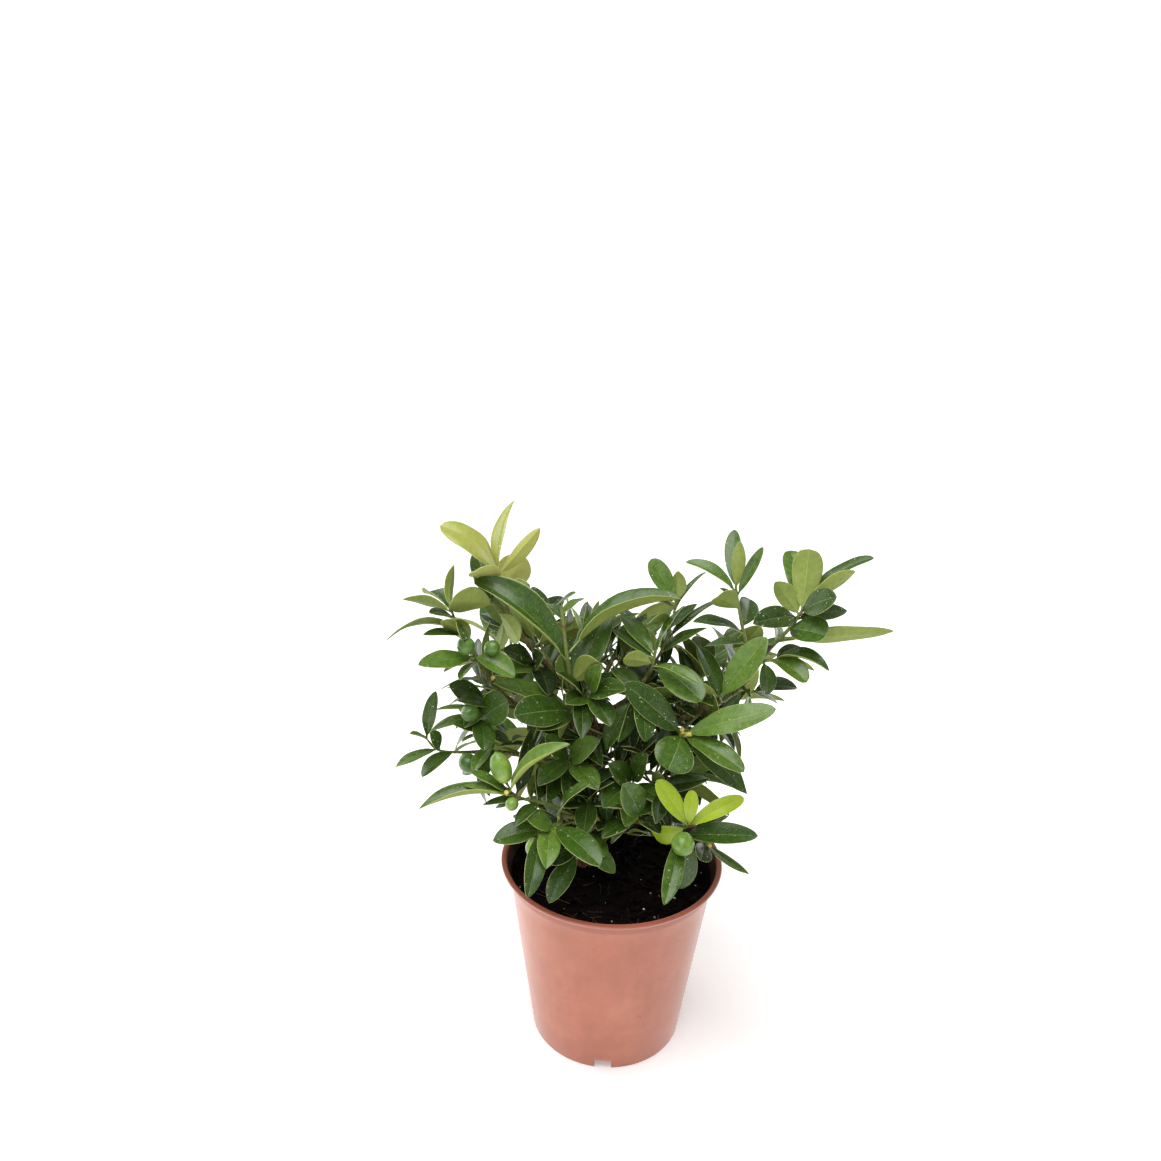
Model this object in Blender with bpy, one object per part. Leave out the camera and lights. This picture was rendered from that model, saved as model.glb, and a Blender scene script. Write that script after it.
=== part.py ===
"""Potted limequat: a small citrus bush in a round, tapered nursery pot.

Metres, +Z up. The origin is on the ground at the middle of the pot, and the front of the
bush is towards -Y. The pot, the soil, the wood, each leafy shoot and each fruit are one
closed solid each. The shoots in front are placed by where their leaves show in the
photograph, the ones behind grow by rule.
"""
import math
import random

import bpy
from mathutils import Matrix, Vector
from mathutils.bvhtree import BVHTree

MM = 0.001

# Pot, in metres
POT_HEIGHT = 0.1670
FOOT_RADIUS = 0.0660
NECK_RADIUS = 0.0874
NECK_HEIGHT = 0.1550
LIP_RADIUS = 0.0950
LIP_STEP = 0.0015
LIP_BAND = 0.0045
WALL = 0.0020
FLOOR_TOP = 0.0115
RECESS_HEIGHT = 0.0092
BOSS_RADIUS = 0.0180
FOOT_RING = 0.0060
POT_SIDES = 38
NOTCHES = 4
NOTCH_WIDTH = 0.0145
NOTCH_HEIGHT = 0.0085
NOTCH_TURN = math.radians(-93.0)
DRAIN_HOLES = 6
DRAIN_RADIUS = 0.0045
DRAIN_CIRCLE = 0.0400

# Soil, in metres
SOIL_TOP = 0.1530
SOIL_CROWN = 0.0015
CLEARANCE = 0.0003

# Wood, in metres
TRUNK_FOOT = 0.0350
TRUNK_RADIUS = 0.0068
STUB_LENGTH = 0.0030
STUB_ROOM = 0.0018
TRUNK_SIDES = 8
BRANCH_SIDES = 6
SHOOT_SIDES = 5
BRANCH_STEP = 0.026
SHOOT_STEP = 0.015

# Leaf blade: how wide it is along its length, and its section
BLADE_THICKNESS = 0.0013
BLADE_FOLD = 0.22
BLADE_BOW = 0.07
STATIONS = ((0.13, 0.20), (0.40, 0.92), (0.74, 0.88))
PLAIN_STATIONS = ((0.15, 0.24), (0.56, 1.05))
LEAF_GAP = 0.0004

# The photograph, for places that are read off it: pixels, metres and radians
PHOTO_FOCAL = 1000.0
PHOTO_CENTRE = 580.5
CAMERA_AT = Vector((-0.0327, -0.7406, 0.6720))
CAMERA_PITCH = math.radians(18.94)
CAMERA_ROLL = math.radians(1.44)

# Colours, as linear RGB, with roughness
FINISHES = {
    "pot_plastic": ((0.50, 0.21, 0.15), 0.38),
    "soil": ((0.018, 0.012, 0.009), 0.95),
    "bark": ((0.13, 0.10, 0.05), 0.80),
    "leaf": ((0.07, 0.16, 0.03), 0.38),
    "flush_leaf": ((0.42, 0.50, 0.06), 0.40),
    "fruit": ((0.16, 0.32, 0.04), 0.35),
}

for old in list(bpy.data.objects):
    bpy.data.objects.remove(old, do_unlink=True)


# Materials and meshes

def finish(name):
    """The Principled material of one finish, made the first time it is asked for."""
    material = bpy.data.materials.get(name)
    if material is None:
        colour, roughness = FINISHES[name]
        material = bpy.data.materials.new(name)
        material.use_nodes = True
        shader = material.node_tree.nodes["Principled BSDF"]
        shader.inputs["Base Color"].default_value = (*colour, 1.0)
        shader.inputs["Roughness"].default_value = roughness
        shader.inputs["Metallic"].default_value = 0.0
        material.diffuse_color = (*colour, 1.0)
    return material


def solid(name, shape, finish_name):
    """An object from a shape, which is a pair of vertex and face lists."""
    mesh = bpy.data.meshes.new(name)
    mesh.from_pydata([tuple(v) for v in shape[0]], [], shape[1])
    mesh.materials.append(finish(finish_name))
    piece = bpy.data.objects.new(name, mesh)
    bpy.context.scene.collection.objects.link(piece)
    return piece


def apply_modifiers(piece):
    """Bakes a piece's modifiers into its mesh."""
    bpy.context.view_layer.update()
    graph = bpy.context.evaluated_depsgraph_get()
    baked = bpy.data.meshes.new_from_object(piece.evaluated_get(graph))
    piece.modifiers.clear()
    piece.data = baked


def boolean(piece, others, operation, solver="EXACT"):
    """Joins or cuts a piece with the solids made from a list of shapes, in one Boolean."""
    group = bpy.data.collections.new("others")
    bpy.context.scene.collection.children.link(group)
    for number, shape in enumerate(others):
        mesh = bpy.data.meshes.new(f"other_{number}")
        mesh.from_pydata([tuple(v) for v in shape[0]], [], shape[1])
        group.objects.link(bpy.data.objects.new(f"other_{number}", mesh))
    cut = piece.modifiers.new("boolean", "BOOLEAN")
    cut.operation = operation
    cut.solver = solver
    cut.operand_type = "COLLECTION"
    cut.collection = group
    apply_modifiers(piece)
    for other in list(group.objects):
        bpy.data.objects.remove(other, do_unlink=True)
    bpy.data.collections.remove(group)


def turned(profile, sides):
    """A closed turned shape. The profile's (radius, height) points run up the outside,
    over the top and down the inside, and may start or end on the axis."""
    points, rings = [], []
    for radius, height in profile:
        if radius == 0.0:
            rings.append([len(points)])
            points.append(Vector((0, 0, height)))
            continue
        rings.append([len(points) + k for k in range(sides)])
        for k in range(sides):
            angle = math.tau * k / sides
            points.append(Vector((radius * math.cos(angle), radius * math.sin(angle), height)))
    faces = []
    for lower, upper in zip(rings, rings[1:]):
        for k in range(sides):
            a, b = lower[k % len(lower)], lower[(k + 1) % sides % len(lower)]
            d, c = upper[k % len(upper)], upper[(k + 1) % sides % len(upper)]
            corners = [a, b, c, d]
            faces.append([v for n, v in enumerate(corners) if v not in corners[:n]])
    return points, faces


def box(low, high, turn):
    """A box between two corners, turned about +Z."""
    corners = [Vector((x, y, z)) for x in (low[0], high[0]) for y in (low[1], high[1])
               for z in (low[2], high[2])]
    spin = Matrix.Rotation(turn, 3, "Z")
    faces = [(0, 1, 3, 2), (4, 6, 7, 5), (0, 4, 5, 1), (2, 3, 7, 6), (0, 2, 6, 4), (1, 5, 7, 3)]
    return [spin @ corner for corner in corners], faces


# Curves, stems and leaves

def smooth_path(points, steps):
    """Points along a Catmull-Rom curve through the given ones."""
    ends = [2 * points[0] - points[1]] + list(points) + [2 * points[-1] - points[-2]]
    path = []
    for i in range(1, len(ends) - 2):
        p0, p1, p2, p3 = ends[i - 1:i + 3]
        for k in range(steps):
            t = k / steps
            path.append(0.5 * (2 * p1 + (p2 - p0) * t + (2 * p0 - 5 * p1 + 4 * p2 - p3) * t ** 2
                               + (3 * p1 - p0 - 3 * p2 + p3) * t ** 3))
    return path + [points[-1].copy()]


def path_length(path):
    return sum((b - a).length for a, b in zip(path, path[1:]))


def point_on(path, distance):
    """The point and the direction at a distance along a path."""
    for a, b in zip(path, path[1:]):
        step = (b - a).length
        if distance <= step:
            return a.lerp(b, distance / step), (b - a).normalized()
        distance -= step
    return path[-1].copy(), (path[-1] - path[-2]).normalized()


def place_on(stem, share):
    """Where a leaf or stalk grows on a stem, and the stem's direction there."""
    return point_on(stem, path_length(stem) * min(0.10 + 0.88 * share, 0.985))


def stretch(path, start, end, count):
    """Evenly spaced points of a path between two distances along it."""
    return [point_on(path, start + (end - start) * k / count)[0] for k in range(count + 1)]


def tube(path, radii, sides, start_way=None):
    """A round stem along a path, with flat ends. The section doesn't twist, and start_way
    squares its first end to another direction."""
    verts, faces = [], []
    along = (path[1] - path[0]).normalized()
    across = along.orthogonal().normalized()
    for n, centre in enumerate(path):
        ahead = path[min(n + 1, len(path) - 1)] - path[max(n - 1, 0)]
        along = start_way if start_way and n == 0 else ahead.normalized()
        across = (across - along * across.dot(along)).normalized()
        other = along.cross(across)
        for k in range(sides):
            angle = math.tau * k / sides
            verts.append(centre + radii[n] * (across * math.cos(angle) + other * math.sin(angle)))
    for n in range(len(path) - 1):
        for k in range(sides):
            low, high = n * sides, (n + 1) * sides
            faces.append((low + k, low + (k + 1) % sides, high + (k + 1) % sides, high + k))
    faces.append(tuple(reversed(range(sides))))
    faces.append(tuple(range((len(path) - 1) * sides, len(path) * sides)))
    return verts, faces


def leaf_shape(base, tip, normal, width, bow, stations=STATIONS, grown=0.0, first=0):
    """A leaf: a blade folded along its midrib, which is arched, on a short stalk.

    Each station across it has a left edge, the midrib's top, a right edge and the
    midrib's underside. grown makes it bigger all over, and first leaves off its foot,
    for testing whether it is clear of its neighbours."""
    chord = tip - base
    length = chord.length
    along = chord / length
    normal = (normal - along * normal.dot(along)).normalized()
    tip = tip + along * grown
    verts, rings = [base], []
    for share, part in stations:
        middle = base + chord * share + normal * (4 * bow * length * share * (1 - share))
        slope = (chord + normal * (4 * bow * length * (1 - 2 * share))).normalized()
        up = (normal - slope * normal.dot(slope)).normalized()
        right = slope.cross(up)
        half = part * width / 2 + grown * 1.5
        thick = BLADE_THICKNESS / 2 + grown
        lift = up * half * BLADE_FOLD
        rings.append(range(len(verts), len(verts) + 4))
        verts += [middle - right * half + lift, middle + up * thick,
                  middle + right * half + lift, middle - up * thick]
    verts.append(tip)
    faces = []
    for k in range(4):
        faces.append((0, rings[0][k], rings[0][(k + 1) % 4]))
        for lower, upper in zip(rings, rings[1:]):
            a, b, c, d = lower[k], lower[(k + 1) % 4], upper[(k + 1) % 4], upper[k]
            faces += [(a, d, c), (a, c, b)] if k % 2 == 0 else [(a, d, b), (b, d, c)]
        faces.append((rings[-1][k], len(verts) - 1, rings[-1][(k + 1) % 4]))
    if first:
        faces = [face for face in faces if min(face) > 4 * (first - 1)]
    return verts, faces


def fruit_shape(pole, along, radius, length):
    """An oval fruit whose pole is where its stalk meets it."""
    rows, sides = 6, 10
    across = along.orthogonal().normalized()
    other = along.cross(across)
    verts, faces = [pole], []
    for row in range(1, rows):
        angle = math.pi * row / rows
        middle = pole + along * (length / 2 * (1 - math.cos(angle)))
        for k in range(sides):
            spin = math.tau * k / sides
            side = across * math.cos(spin) + other * math.sin(spin)
            verts.append(middle + side * radius * math.sin(angle))
    verts.append(pole + along * length)
    for k in range(sides):
        after = (k + 1) % sides
        faces.append((0, 1 + after, 1 + k))
        for row in range(rows - 2):
            low, high = 1 + row * sides, 1 + (row + 1) * sides
            faces.append((low + k, low + after, high + after, high + k))
        last = 1 + (rows - 2) * sides
        faces.append((last + k, last + after, len(verts) - 1))
    return verts, faces


# Places read off the photograph

def sight(px, py):
    """The direction from the camera through a pixel of the photograph."""
    ahead = Vector((0, math.cos(CAMERA_PITCH), -math.sin(CAMERA_PITCH)))
    level = Vector((1, 0, 0))
    upward = Vector((0, math.sin(CAMERA_PITCH), math.cos(CAMERA_PITCH)))
    right = math.cos(CAMERA_ROLL) * level + math.sin(CAMERA_ROLL) * upward
    top = math.cos(CAMERA_ROLL) * upward - math.sin(CAMERA_ROLL) * level
    side = (px - PHOTO_CENTRE) / PHOTO_FOCAL
    rise = (PHOTO_CENTRE - py) / PHOTO_FOCAL
    return (ahead + side * right + rise * top).normalized()


def seen_at(px, py, behind):
    """The point seen at a pixel that lies so many millimetres behind the pot's axis."""
    ray = sight(px, py)
    return CAMERA_AT + ray * ((behind * MM - CAMERA_AT.y) / ray.y)


def tip_seen_at(base, pixel, length):
    """Where a leaf of a known length ends, if its tip shows at a pixel. A negative
    length is one that points away from the camera."""
    ray = sight(*pixel)
    nearest = CAMERA_AT + ray * (base - CAMERA_AT).dot(ray)
    depth = math.sqrt(max(length ** 2 - (nearest - base).length_squared, 0.0))
    return nearest - ray * math.copysign(depth, length)


def facing(base, tip, turn):
    """The way a blade's upper side faces: 0 degrees is towards the camera, 90 is up and
    edge on, or to the right on an upright leaf, and 180 shows its back."""
    along = (tip - base).normalized()
    view = (CAMERA_AT - base).normalized()
    front = (view - along * view.dot(along)).normalized()
    side = along.cross(front)
    if side.z + 0.35 * side.x < 0:
        side = -side
    return front * math.cos(math.radians(turn)) + side * math.sin(math.radians(turn))


def leaf(at, tip, length, width, turn, bow=BLADE_BOW):
    """One leaf as the photograph shows it: its place along the shoot from 0 to 1, its
    tip's pixel, its length and width in millimetres, and the turn of its upper side."""
    return {"at": at, "tip": tip, "length": length * MM, "width": width * MM,
            "turn": turn, "bow": bow}


def fruit(at, middle, behind, width, length=None):
    """One fruit: the place of its stalk along the shoot, the pixel of its middle, how far
    behind the pot's axis it hangs, and its width and length in millimetres."""
    return {"at": at, "middle": middle, "behind": behind, "width": width * MM,
            "length": (length or width * 1.12) * MM}


# The wood: each branch leaves its parent at a share of the parent's length, and then
# passes through points given as a pixel's column and row and millimetres behind the axis
BRANCHES = {
    "left_up": ("trunk", 0.94, (3.0, 1.9), [(560, 680, 16), (533, 650, 18), (513, 622, 10), (504, 600, 4)]),
    "left": ("trunk", 0.86, (2.9, 1.9), [(562, 722, 10), (527, 712, 4), (498, 690, -4), (481, 668, -12)]),
    "left_low": ("trunk", 0.55, (2.4, 1.6), [(570, 768, -4), (530, 757, -14), (498, 752, -22), (470, 752, -28)]),
    "front_left": ("trunk", 0.26, (2.7, 1.9), [(594, 821, -22), (578, 818, -42), (560, 815, -54)]),
    "front_right": ("trunk", 0.22, (2.6, 1.8), [(626, 822, -20), (650, 826, -36), (674, 828, -46)]),
    "low_right": ("trunk", 0.50, (2.2, 1.6), [(622, 778, -8), (646, 772, -18), (664, 777, -26)]),
    "right": ("trunk", 0.90, (4.0, 2.5), [(625, 728, 4), (668, 722, 2), (708, 706, -2), (736, 690, -8),
                                          (757, 664, -8)]),
    "middle": ("trunk", 0.97, (2.4, 1.7), [(603, 712, 8), (620, 704, 6), (637, 690, 0), (648, 676, -6)]),
    "centre": ("trunk", 1.00, (2.6, 2.0), [(583, 712, -6), (576, 700, -14)]),
    "back_left": ("trunk", 0.78, (3.0, 1.8), [(575, 728, 34), (548, 700, 62), (520, 668, 84)]),
    "back": ("trunk", 0.98, (3.0, 1.8), [(598, 690, 32), (610, 664, 62), (622, 640, 88)]),
    "back_right": ("trunk", 0.70, (3.0, 1.8), [(632, 742, 34), (672, 712, 60), (712, 684, 82)]),
    "low_back": ("trunk", 0.45, (2.4, 1.6), [(600, 770, 34), (590, 752, 66), (580, 742, 92)]),
}
TRUNK = ((-0.0230, 0.0080), [(587, 822, 6), (591, 778, 3), (592, 740, 2), (588, 708, 0)], (6.8, 4.2))

# The leafy shoots: parent branch, where it leaves it, stem radius, the stem's points, its
# leaves as they show, how many more it has out of sight, and its fruits
SHOOTS = {
    "flush_top_left": ("left_up", 1.0, 1.5, [(501, 588, 0), (498, 573, -4)], [
        leaf(0.80, (440, 526), 62, 26, 48, 0.17),
        leaf(1.00, (514, 501), -62, 16, -48, 0.10),
        leaf(0.92, (540, 528), 60, 18, -165, 0.02),
        leaf(0.60, (475, 571), 36, 23, 128),
        leaf(0.05, (524, 556), -34, 24, 165),
        leaf(0.00, (529, 584), 30, 14, 150),
    ], 0, []),
    "flush_low_right": ("front_right", 1.0, 1.6, [(682, 828, -54), (689, 826, -66)], [
        leaf(0.90, (657, 780), 45, 18, 12),
        leaf(1.00, (692, 789), 29, 14, 8),
        leaf(0.80, (744, 798), 48, 16, 15),
        leaf(0.60, (657, 835), -33, 17, -25),
    ], 0, []),
    "shoot_centre": ("centre", 1.0, 2.0, [(572, 684, -20), (567, 655, -26), (564, 632, -26), (562, 608, -22)], [
        leaf(0.38, (474, 580), 96, 25, 38, 0.13),
        leaf(0.50, (681, 599), -98, 26, 132, 0.15),
        leaf(0.10, (597, 661), 34, 21, 165, 0.12),
        leaf(0.02, (612, 606), -72, 27, 22, 0.06),
        leaf(0.78, (566, 598), -40, 14, 70),
        leaf(0.88, (548, 604), -36, 14, 50),
        leaf(0.95, (578, 603), -34, 11, 60),
    ], 0, []),
    "shoot_centre_top": ("back", 0.35, 1.3, [(588, 660, 20), (580, 634, 12)], [
        leaf(0.85, (571, 607), 30, 9, 60),
        leaf(1.00, (586, 606), 28, 9, 60),
        leaf(0.50, (560, 640), 36, 14, 60),
        leaf(0.30, (612, 640), 34, 14, 50),
    ], 0, []),
    "shoot_left_top": ("left_up", 0.78, 1.5, [(507, 626, 4), (500, 612, -4), (492, 603, -8)], [
        leaf(0.95, (451, 602), 40, 26, 138, 0.05),
        leaf(0.98, (475, 552), -46, 21, 20),
        leaf(0.60, (518, 642), 34, 17, 140),
        leaf(0.30, (498, 645), 30, 16, 130),
    ], 0, []),
    "shoot_left_far": ("left", 0.80, 1.4, [(470, 645, -12), (458, 626, -18), (450, 607, -22)], [
        leaf(1.00, (454, 565), -36, 13, -140),
        leaf(0.96, (424, 593), -42, 18, 60),
        leaf(0.92, (405, 600), -42, 15, 128),
        leaf(0.80, (429, 613), 28, 13, 65),
        leaf(0.55, (387, 640), 62, 19, 104, 0.16),
        leaf(0.42, (425, 635), 34, 13, 65),
        leaf(0.25, (441, 617), 42, 20, 138),
        leaf(0.70, (460, 640), 34, 13, 60),
    ], 0, []),
    "shoot_left_mid": ("left", 1.0, 1.4, [(478, 662, -22), (474, 655, -30)], [
        leaf(0.90, (418, 665), 48, 19, 40, 0.02),
        leaf(0.95, (513, 676), 38, 18, 30),
        leaf(0.60, (444, 672), 30, 12, 80),
        leaf(0.50, (460, 680), 30, 13, 60),
    ], 0, [fruit(0.8, (466, 646), -40, 14), fruit(0.4, (492, 648), -34, 12)]),
    "shoot_left_mid_low": ("left", 0.55, 1.4, [(488, 706, -10), (479, 722, -24)], [
        leaf(0.50, (449, 685), 42, 21, 35),
        leaf(0.90, (484, 751), 34, 19, 20),
        leaf(0.85, (431, 731), 40, 16, 65),
        leaf(0.95, (508, 701), 32, 28, 18),
        leaf(0.70, (436, 710), -34, 13, 70),
        leaf(0.95, (455, 750), -32, 11, 70),
        leaf(0.75, (506, 732), -28, 15, 50),
        leaf(0.40, (449, 700), 44, 15, 50),
        leaf(0.60, (463, 726), 30, 13, 40),
    ], 0, [fruit(0.7, (470, 713), -38, 14)]),
    "shoot_far_left_low": ("left_low", 1.0, 1.2, [(450, 752, -34), (436, 749, -38), (426, 738, -40)], [
        leaf(1.00, (436, 691), 40, 15, -30, 0.05),
        leaf(0.90, (410, 734), 22, 11, 75),
        leaf(0.55, (430, 732), 22, 13, 45),
        leaf(0.60, (396, 767), 36, 14, 55),
        leaf(0.20, (422, 777), 36, 17, 42),
    ], 0, [fruit(0.02, (468, 763), -40, 15)]),
    "shoot_left_inner": ("left_low", 0.60, 1.3, [(492, 742, -22), (486, 730, -26)], [
        leaf(0.80, (462, 742), 26, 10, 75),
        leaf(0.60, (509, 740), -28, 14, 40),
        leaf(0.30, (478, 780), 34, 13, 30),
        leaf(0.95, (462, 726), 30, 12, 40),
        leaf(0.10, (466, 782), 40, 14, 50),
    ], 0, []),
    "shoot_left_dark": ("left", 0.25, 1.6, [(570, 712, -12), (573, 711, -20)], [
        leaf(0.60, (493, 683), 68, 21, 45, 0.10),
        leaf(0.95, (514, 716), 62, 33, 28, 0.06),
        leaf(0.80, (560, 738), 24, 9, 130),
        leaf(0.90, (541, 728), 42, 22, 35),
    ], 0, []),
    "shoot_front_rosette": ("front_left", 0.80, 1.6, [(550, 805, -58), (528, 800, -66), (507, 794, -70)], [
        leaf(0.90, (419, 809), 68, 17, 58, 0.10),
        leaf(1.00, (570, 744), 64, 19, 58, 0.11),
        leaf(0.96, (470, 772), -30, 14, 60),
        leaf(0.85, (530, 729), -56, 16, 30),
        leaf(0.60, (483, 805), 22, 10, 55),
        leaf(0.70, (494, 809), 16, 9, 50),
        leaf(0.55, (548, 757), -44, 15, 125),
        leaf(0.40, (540, 764), -42, 16, 40),
        leaf(0.20, (553, 768), -42, 17, 40),
        leaf(0.75, (463, 786), -34, 14, 55),
        leaf(0.35, (514, 828), 32, 13, 40),
    ], 0, [fruit(0.95, (501, 768), -68, 16, 26), fruit(0.8, (512, 804), -78, 10)]),
    "shoot_front_fan": ("front_left", 1.0, 1.6, [(561, 822, -61), (551, 827, -69), (539, 831, -76)], [
        leaf(0.10, (597, 776), 46, 17, 74, 0.14),
        leaf(0.40, (527, 819), 30, 18, 35),
        leaf(0.60, (546, 869), 42, 18, 10),
        leaf(0.85, (493, 841), 36, 19, 28),
        leaf(0.40, (600, 866), 60, 22, 30),
        leaf(0.98, (526, 905), 58, 19, 15),
        leaf(0.70, (513, 816), -30, 15, 55),
    ], 0, [fruit(0.30, (556, 832), -63, 13), fruit(0.95, (534, 847), -84, 13)]),
    "shoot_front_low": ("front_left", 0.55, 1.4, [(578, 836, -50), (577, 856, -60)], [
        leaf(1.00, (549, 903), 44, 19, 20),
        leaf(0.60, (615, 873), 36, 16, 25),
        leaf(0.80, (545, 862), 32, 22, 35),
        leaf(0.30, (606, 858), 30, 17, 50),
    ], 0, []),
    "shoot_front_middle": ("front_right", 0.45, 1.5, [(636, 818, -40), (641, 815, -50)], [
        leaf(0.95, (623, 784), 40, 23, 22),
        leaf(0.60, (602, 838), 36, 16, 45),
        leaf(0.70, (660, 834), 28, 15, 50),
        leaf(0.40, (611, 843), -34, 14, 55),
        leaf(0.80, (672, 800), -38, 19, 45),
    ], 0, []),
    "shoot_low_right": ("front_right", 0.90, 1.6, [(686, 836, -58), (700, 840, -62), (709, 845, -64)], [
        leaf(0.10, (758, 836), 66, 17, 20, 0.02),
        leaf(0.95, (749, 874), 40, 10, 50, -0.05),
        leaf(0.05, (664, 905), 64, 17, 15),
        leaf(0.30, (679, 889), -46, 22, 25),
        leaf(0.85, (700, 860), 18, 17, 30),
        leaf(0.45, (728, 816), -40, 16, 60),
    ], 0, [fruit(0.20, (683, 844), -77, 18)]),
    "shoot_right_node": ("right", 0.62, 1.8, [(684, 728, -14), (681, 736, -36)], [
        leaf(0.95, (776, 709), 78, 25, 20, 0.03),
        leaf(0.80, (624, 683), 64, 25, 16, 0.05),
        leaf(1.00, (668, 770), 36, 32, 12, 0.12),
        leaf(0.80, (744, 772), 60, 22, 35),
        leaf(0.55, (675, 782), -46, 19, 40),
        leaf(0.50, (747, 794), -72, 21, 22),
        leaf(0.40, (650, 770), -46, 17, 50),
    ], 0, []),
    "shoot_middle": ("middle", 1.0, 1.5, [(652, 668, -14), (655, 655, -18)], [
        leaf(0.80, (611, 629), -44, 16, 50),
        leaf(0.95, (621, 616), -46, 16, 35),
        leaf(0.60, (624, 659), 26, 16, 145),
        leaf(0.90, (646, 628), -34, 11, 115),
        leaf(0.50, (698, 684), 44, 15, 55),
        leaf(1.00, (683, 608), -46, 13, 70),
    ], 0, []),
    "shoot_middle_low": ("middle", 0.55, 1.4, [(632, 700, -8), (640, 692, -22)], [
        leaf(0.50, (690, 694), 44, 15, 115),
        leaf(0.80, (614, 668), -34, 22, 50),
        leaf(0.40, (596, 676), -36, 20, 45),
        leaf(0.90, (645, 740), 40, 19, 30),
        leaf(0.20, (606, 750), 44, 17, 35),
        leaf(0.30, (618, 742), 40, 16, 50),
    ], 0, []),
    "shoot_right_pair": ("right", 0.80, 1.6, [(722, 702, -14), (719, 697, -20)], [
        leaf(0.70, (767, 637), 62, 25, 15, 0.04),
        leaf(0.90, (684, 690), 32, 17, 130),
        leaf(0.40, (697, 645), -52, 19, 40),
        leaf(0.50, (740, 650), -50, 13, 50),
    ], 0, []),
    "shoot_top_middle": ("middle", 0.75, 1.4, [(662, 650, 4), (672, 620, 4), (677, 600, 2)], [
        leaf(0.98, (651, 559), -40, 20, 12, 0.02),
        leaf(1.00, (678, 571), 24, 14, 160),
        leaf(0.85, (706, 572), -42, 12, 60),
        leaf(0.90, (633, 591), -36, 13, 65),
        leaf(0.40, (722, 599), -56, 13, 52),
        leaf(0.60, (697, 604), -32, 12, 50),
        leaf(0.25, (707, 628), -38, 12, 50),
        leaf(0.70, (650, 622), 28, 17, 125),
        leaf(0.12, (702, 701), 58, 28, 20),
    ], 0, []),
    "shoot_top_right": ("right", 0.98, 1.5, [(746, 642, -8), (740, 615, -8), (736, 588, -6)], [
        leaf(0.98, (734, 530), -52, 20, -15, 0.06),
        leaf(1.00, (740, 541), 42, 12, 175, 0.02),
        leaf(0.90, (763, 547), 46, 14, 10, 0.02),
        leaf(0.95, (686, 562), -44, 16, 52, 0.10),
        leaf(0.70, (717, 597), 26, 21, 145),
        leaf(0.30, (693, 622), 44, 18, 66, 0.10),
        leaf(0.40, (749, 599), -36, 19, 22),
        leaf(0.75, (720, 588), -24, 10, 60),
        leaf(0.15, (704, 647), -40, 13, 60),
    ], 0, []),
    "shoot_right_crown": ("right", 1.0, 1.8, [(772, 646, -12), (790, 628, -16), (804, 608, -18)], [
        leaf(0.99, (789, 543), -58, 14, 20, 0.02),
        leaf(0.96, (809, 549), 48, 28, 170, 0.05),
        leaf(0.88, (775, 582), 28, 20, 155),
        leaf(1.00, (874, 558), -66, 16, 100, 0.10),
        leaf(0.99, (855, 571), 50, 17, 140, 0.04),
        leaf(0.95, (839, 596), 34, 21, 35),
        leaf(0.80, (847, 611), -42, 16, 35),
        leaf(0.84, (753, 624), 54, 21, 30),
        leaf(0.60, (826, 636), 34, 26, 38),
        leaf(0.42, (894, 631), -90, 20, 138, -0.02),
        leaf(0.30, (776, 622), -30, 12, 50),
    ], 0, []),
    "shoot_right_low": ("right", 0.93, 1.6, [(762, 662, -18), (776, 660, -22)], [
        leaf(0.90, (829, 671), 46, 18, 60, 0.16),
        leaf(0.70, (804, 681), 38, 20, 42, 0.14),
        leaf(0.95, (805, 650), -30, 17, 45),
        leaf(0.40, (757, 692), 26, 20, 30),
        leaf(0.80, (815, 667), -36, 13, 115),
    ], 0, []),
    "shoot_right_under": ("right", 0.86, 1.5, [(748, 692, -14), (752, 692, -22)], [
        leaf(0.80, (797, 688), -44, 11, 66),
        leaf(0.95, (778, 704), -32, 9, 62),
        leaf(0.30, (742, 716), 32, 12, 55),
    ], 0, []),
    "shoot_inner_left": ("left_up", 0.40, 1.4, [(542, 668, 22), (534, 664, 22)], [
        leaf(0.90, (503, 650), 38, 18, 40),
        leaf(0.80, (518, 690), 38, 20, 35),
        leaf(0.60, (550, 700), 44, 20, 30),
        leaf(0.40, (508, 672), 42, 18, 45),
        leaf(0.95, (560, 640), 44, 18, 40),
    ], 0, []),
    "shoot_inner_low_left": ("left_low", 0.25, 1.5, [(568, 764, -14), (570, 760, -24)], [
        leaf(0.60, (600, 740), 46, 20, 30),
        leaf(0.80, (598, 790), 46, 20, 30),
        leaf(0.95, (538, 786), 44, 18, 35),
        leaf(0.40, (552, 744), 36, 18, 35),
        leaf(0.30, (566, 802), 44, 18, 35),
    ], 0, []),
    "shoot_inner_low_right": ("low_right", 0.50, 1.5, [(634, 780, -18), (630, 786, -24)], [
        leaf(0.60, (603, 808), 46, 20, 30),
        leaf(0.80, (608, 764), 40, 19, 30),
        leaf(0.40, (648, 754), 40, 18, 35),
        leaf(0.95, (632, 816), 40, 18, 30),
        leaf(0.90, (662, 802), 42, 17, 40),
    ], 0, []),
    "shoot_inner_top": ("centre", 0.50, 1.4, [(584, 700, -12), (590, 694, -18)], [
        leaf(0.50, (566, 704), 36, 17, 30),
        leaf(0.80, (626, 690), 46, 20, 40),
        leaf(0.90, (604, 660), 42, 17, 40),
        leaf(0.95, (610, 726), 42, 19, 30),
    ], 0, []),
    "shoot_top_left_back": ("back_left", 0.62, 1.4, [(545, 668, 58), (541, 640, 48), (540, 620, 44)], [
        leaf(0.95, (563, 594), -40, 18, 30),
        leaf(1.00, (534, 587), -44, 18, 30),
        leaf(0.70, (576, 620), 40, 16, 40),
        leaf(0.60, (512, 632), 40, 16, 40),
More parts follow.
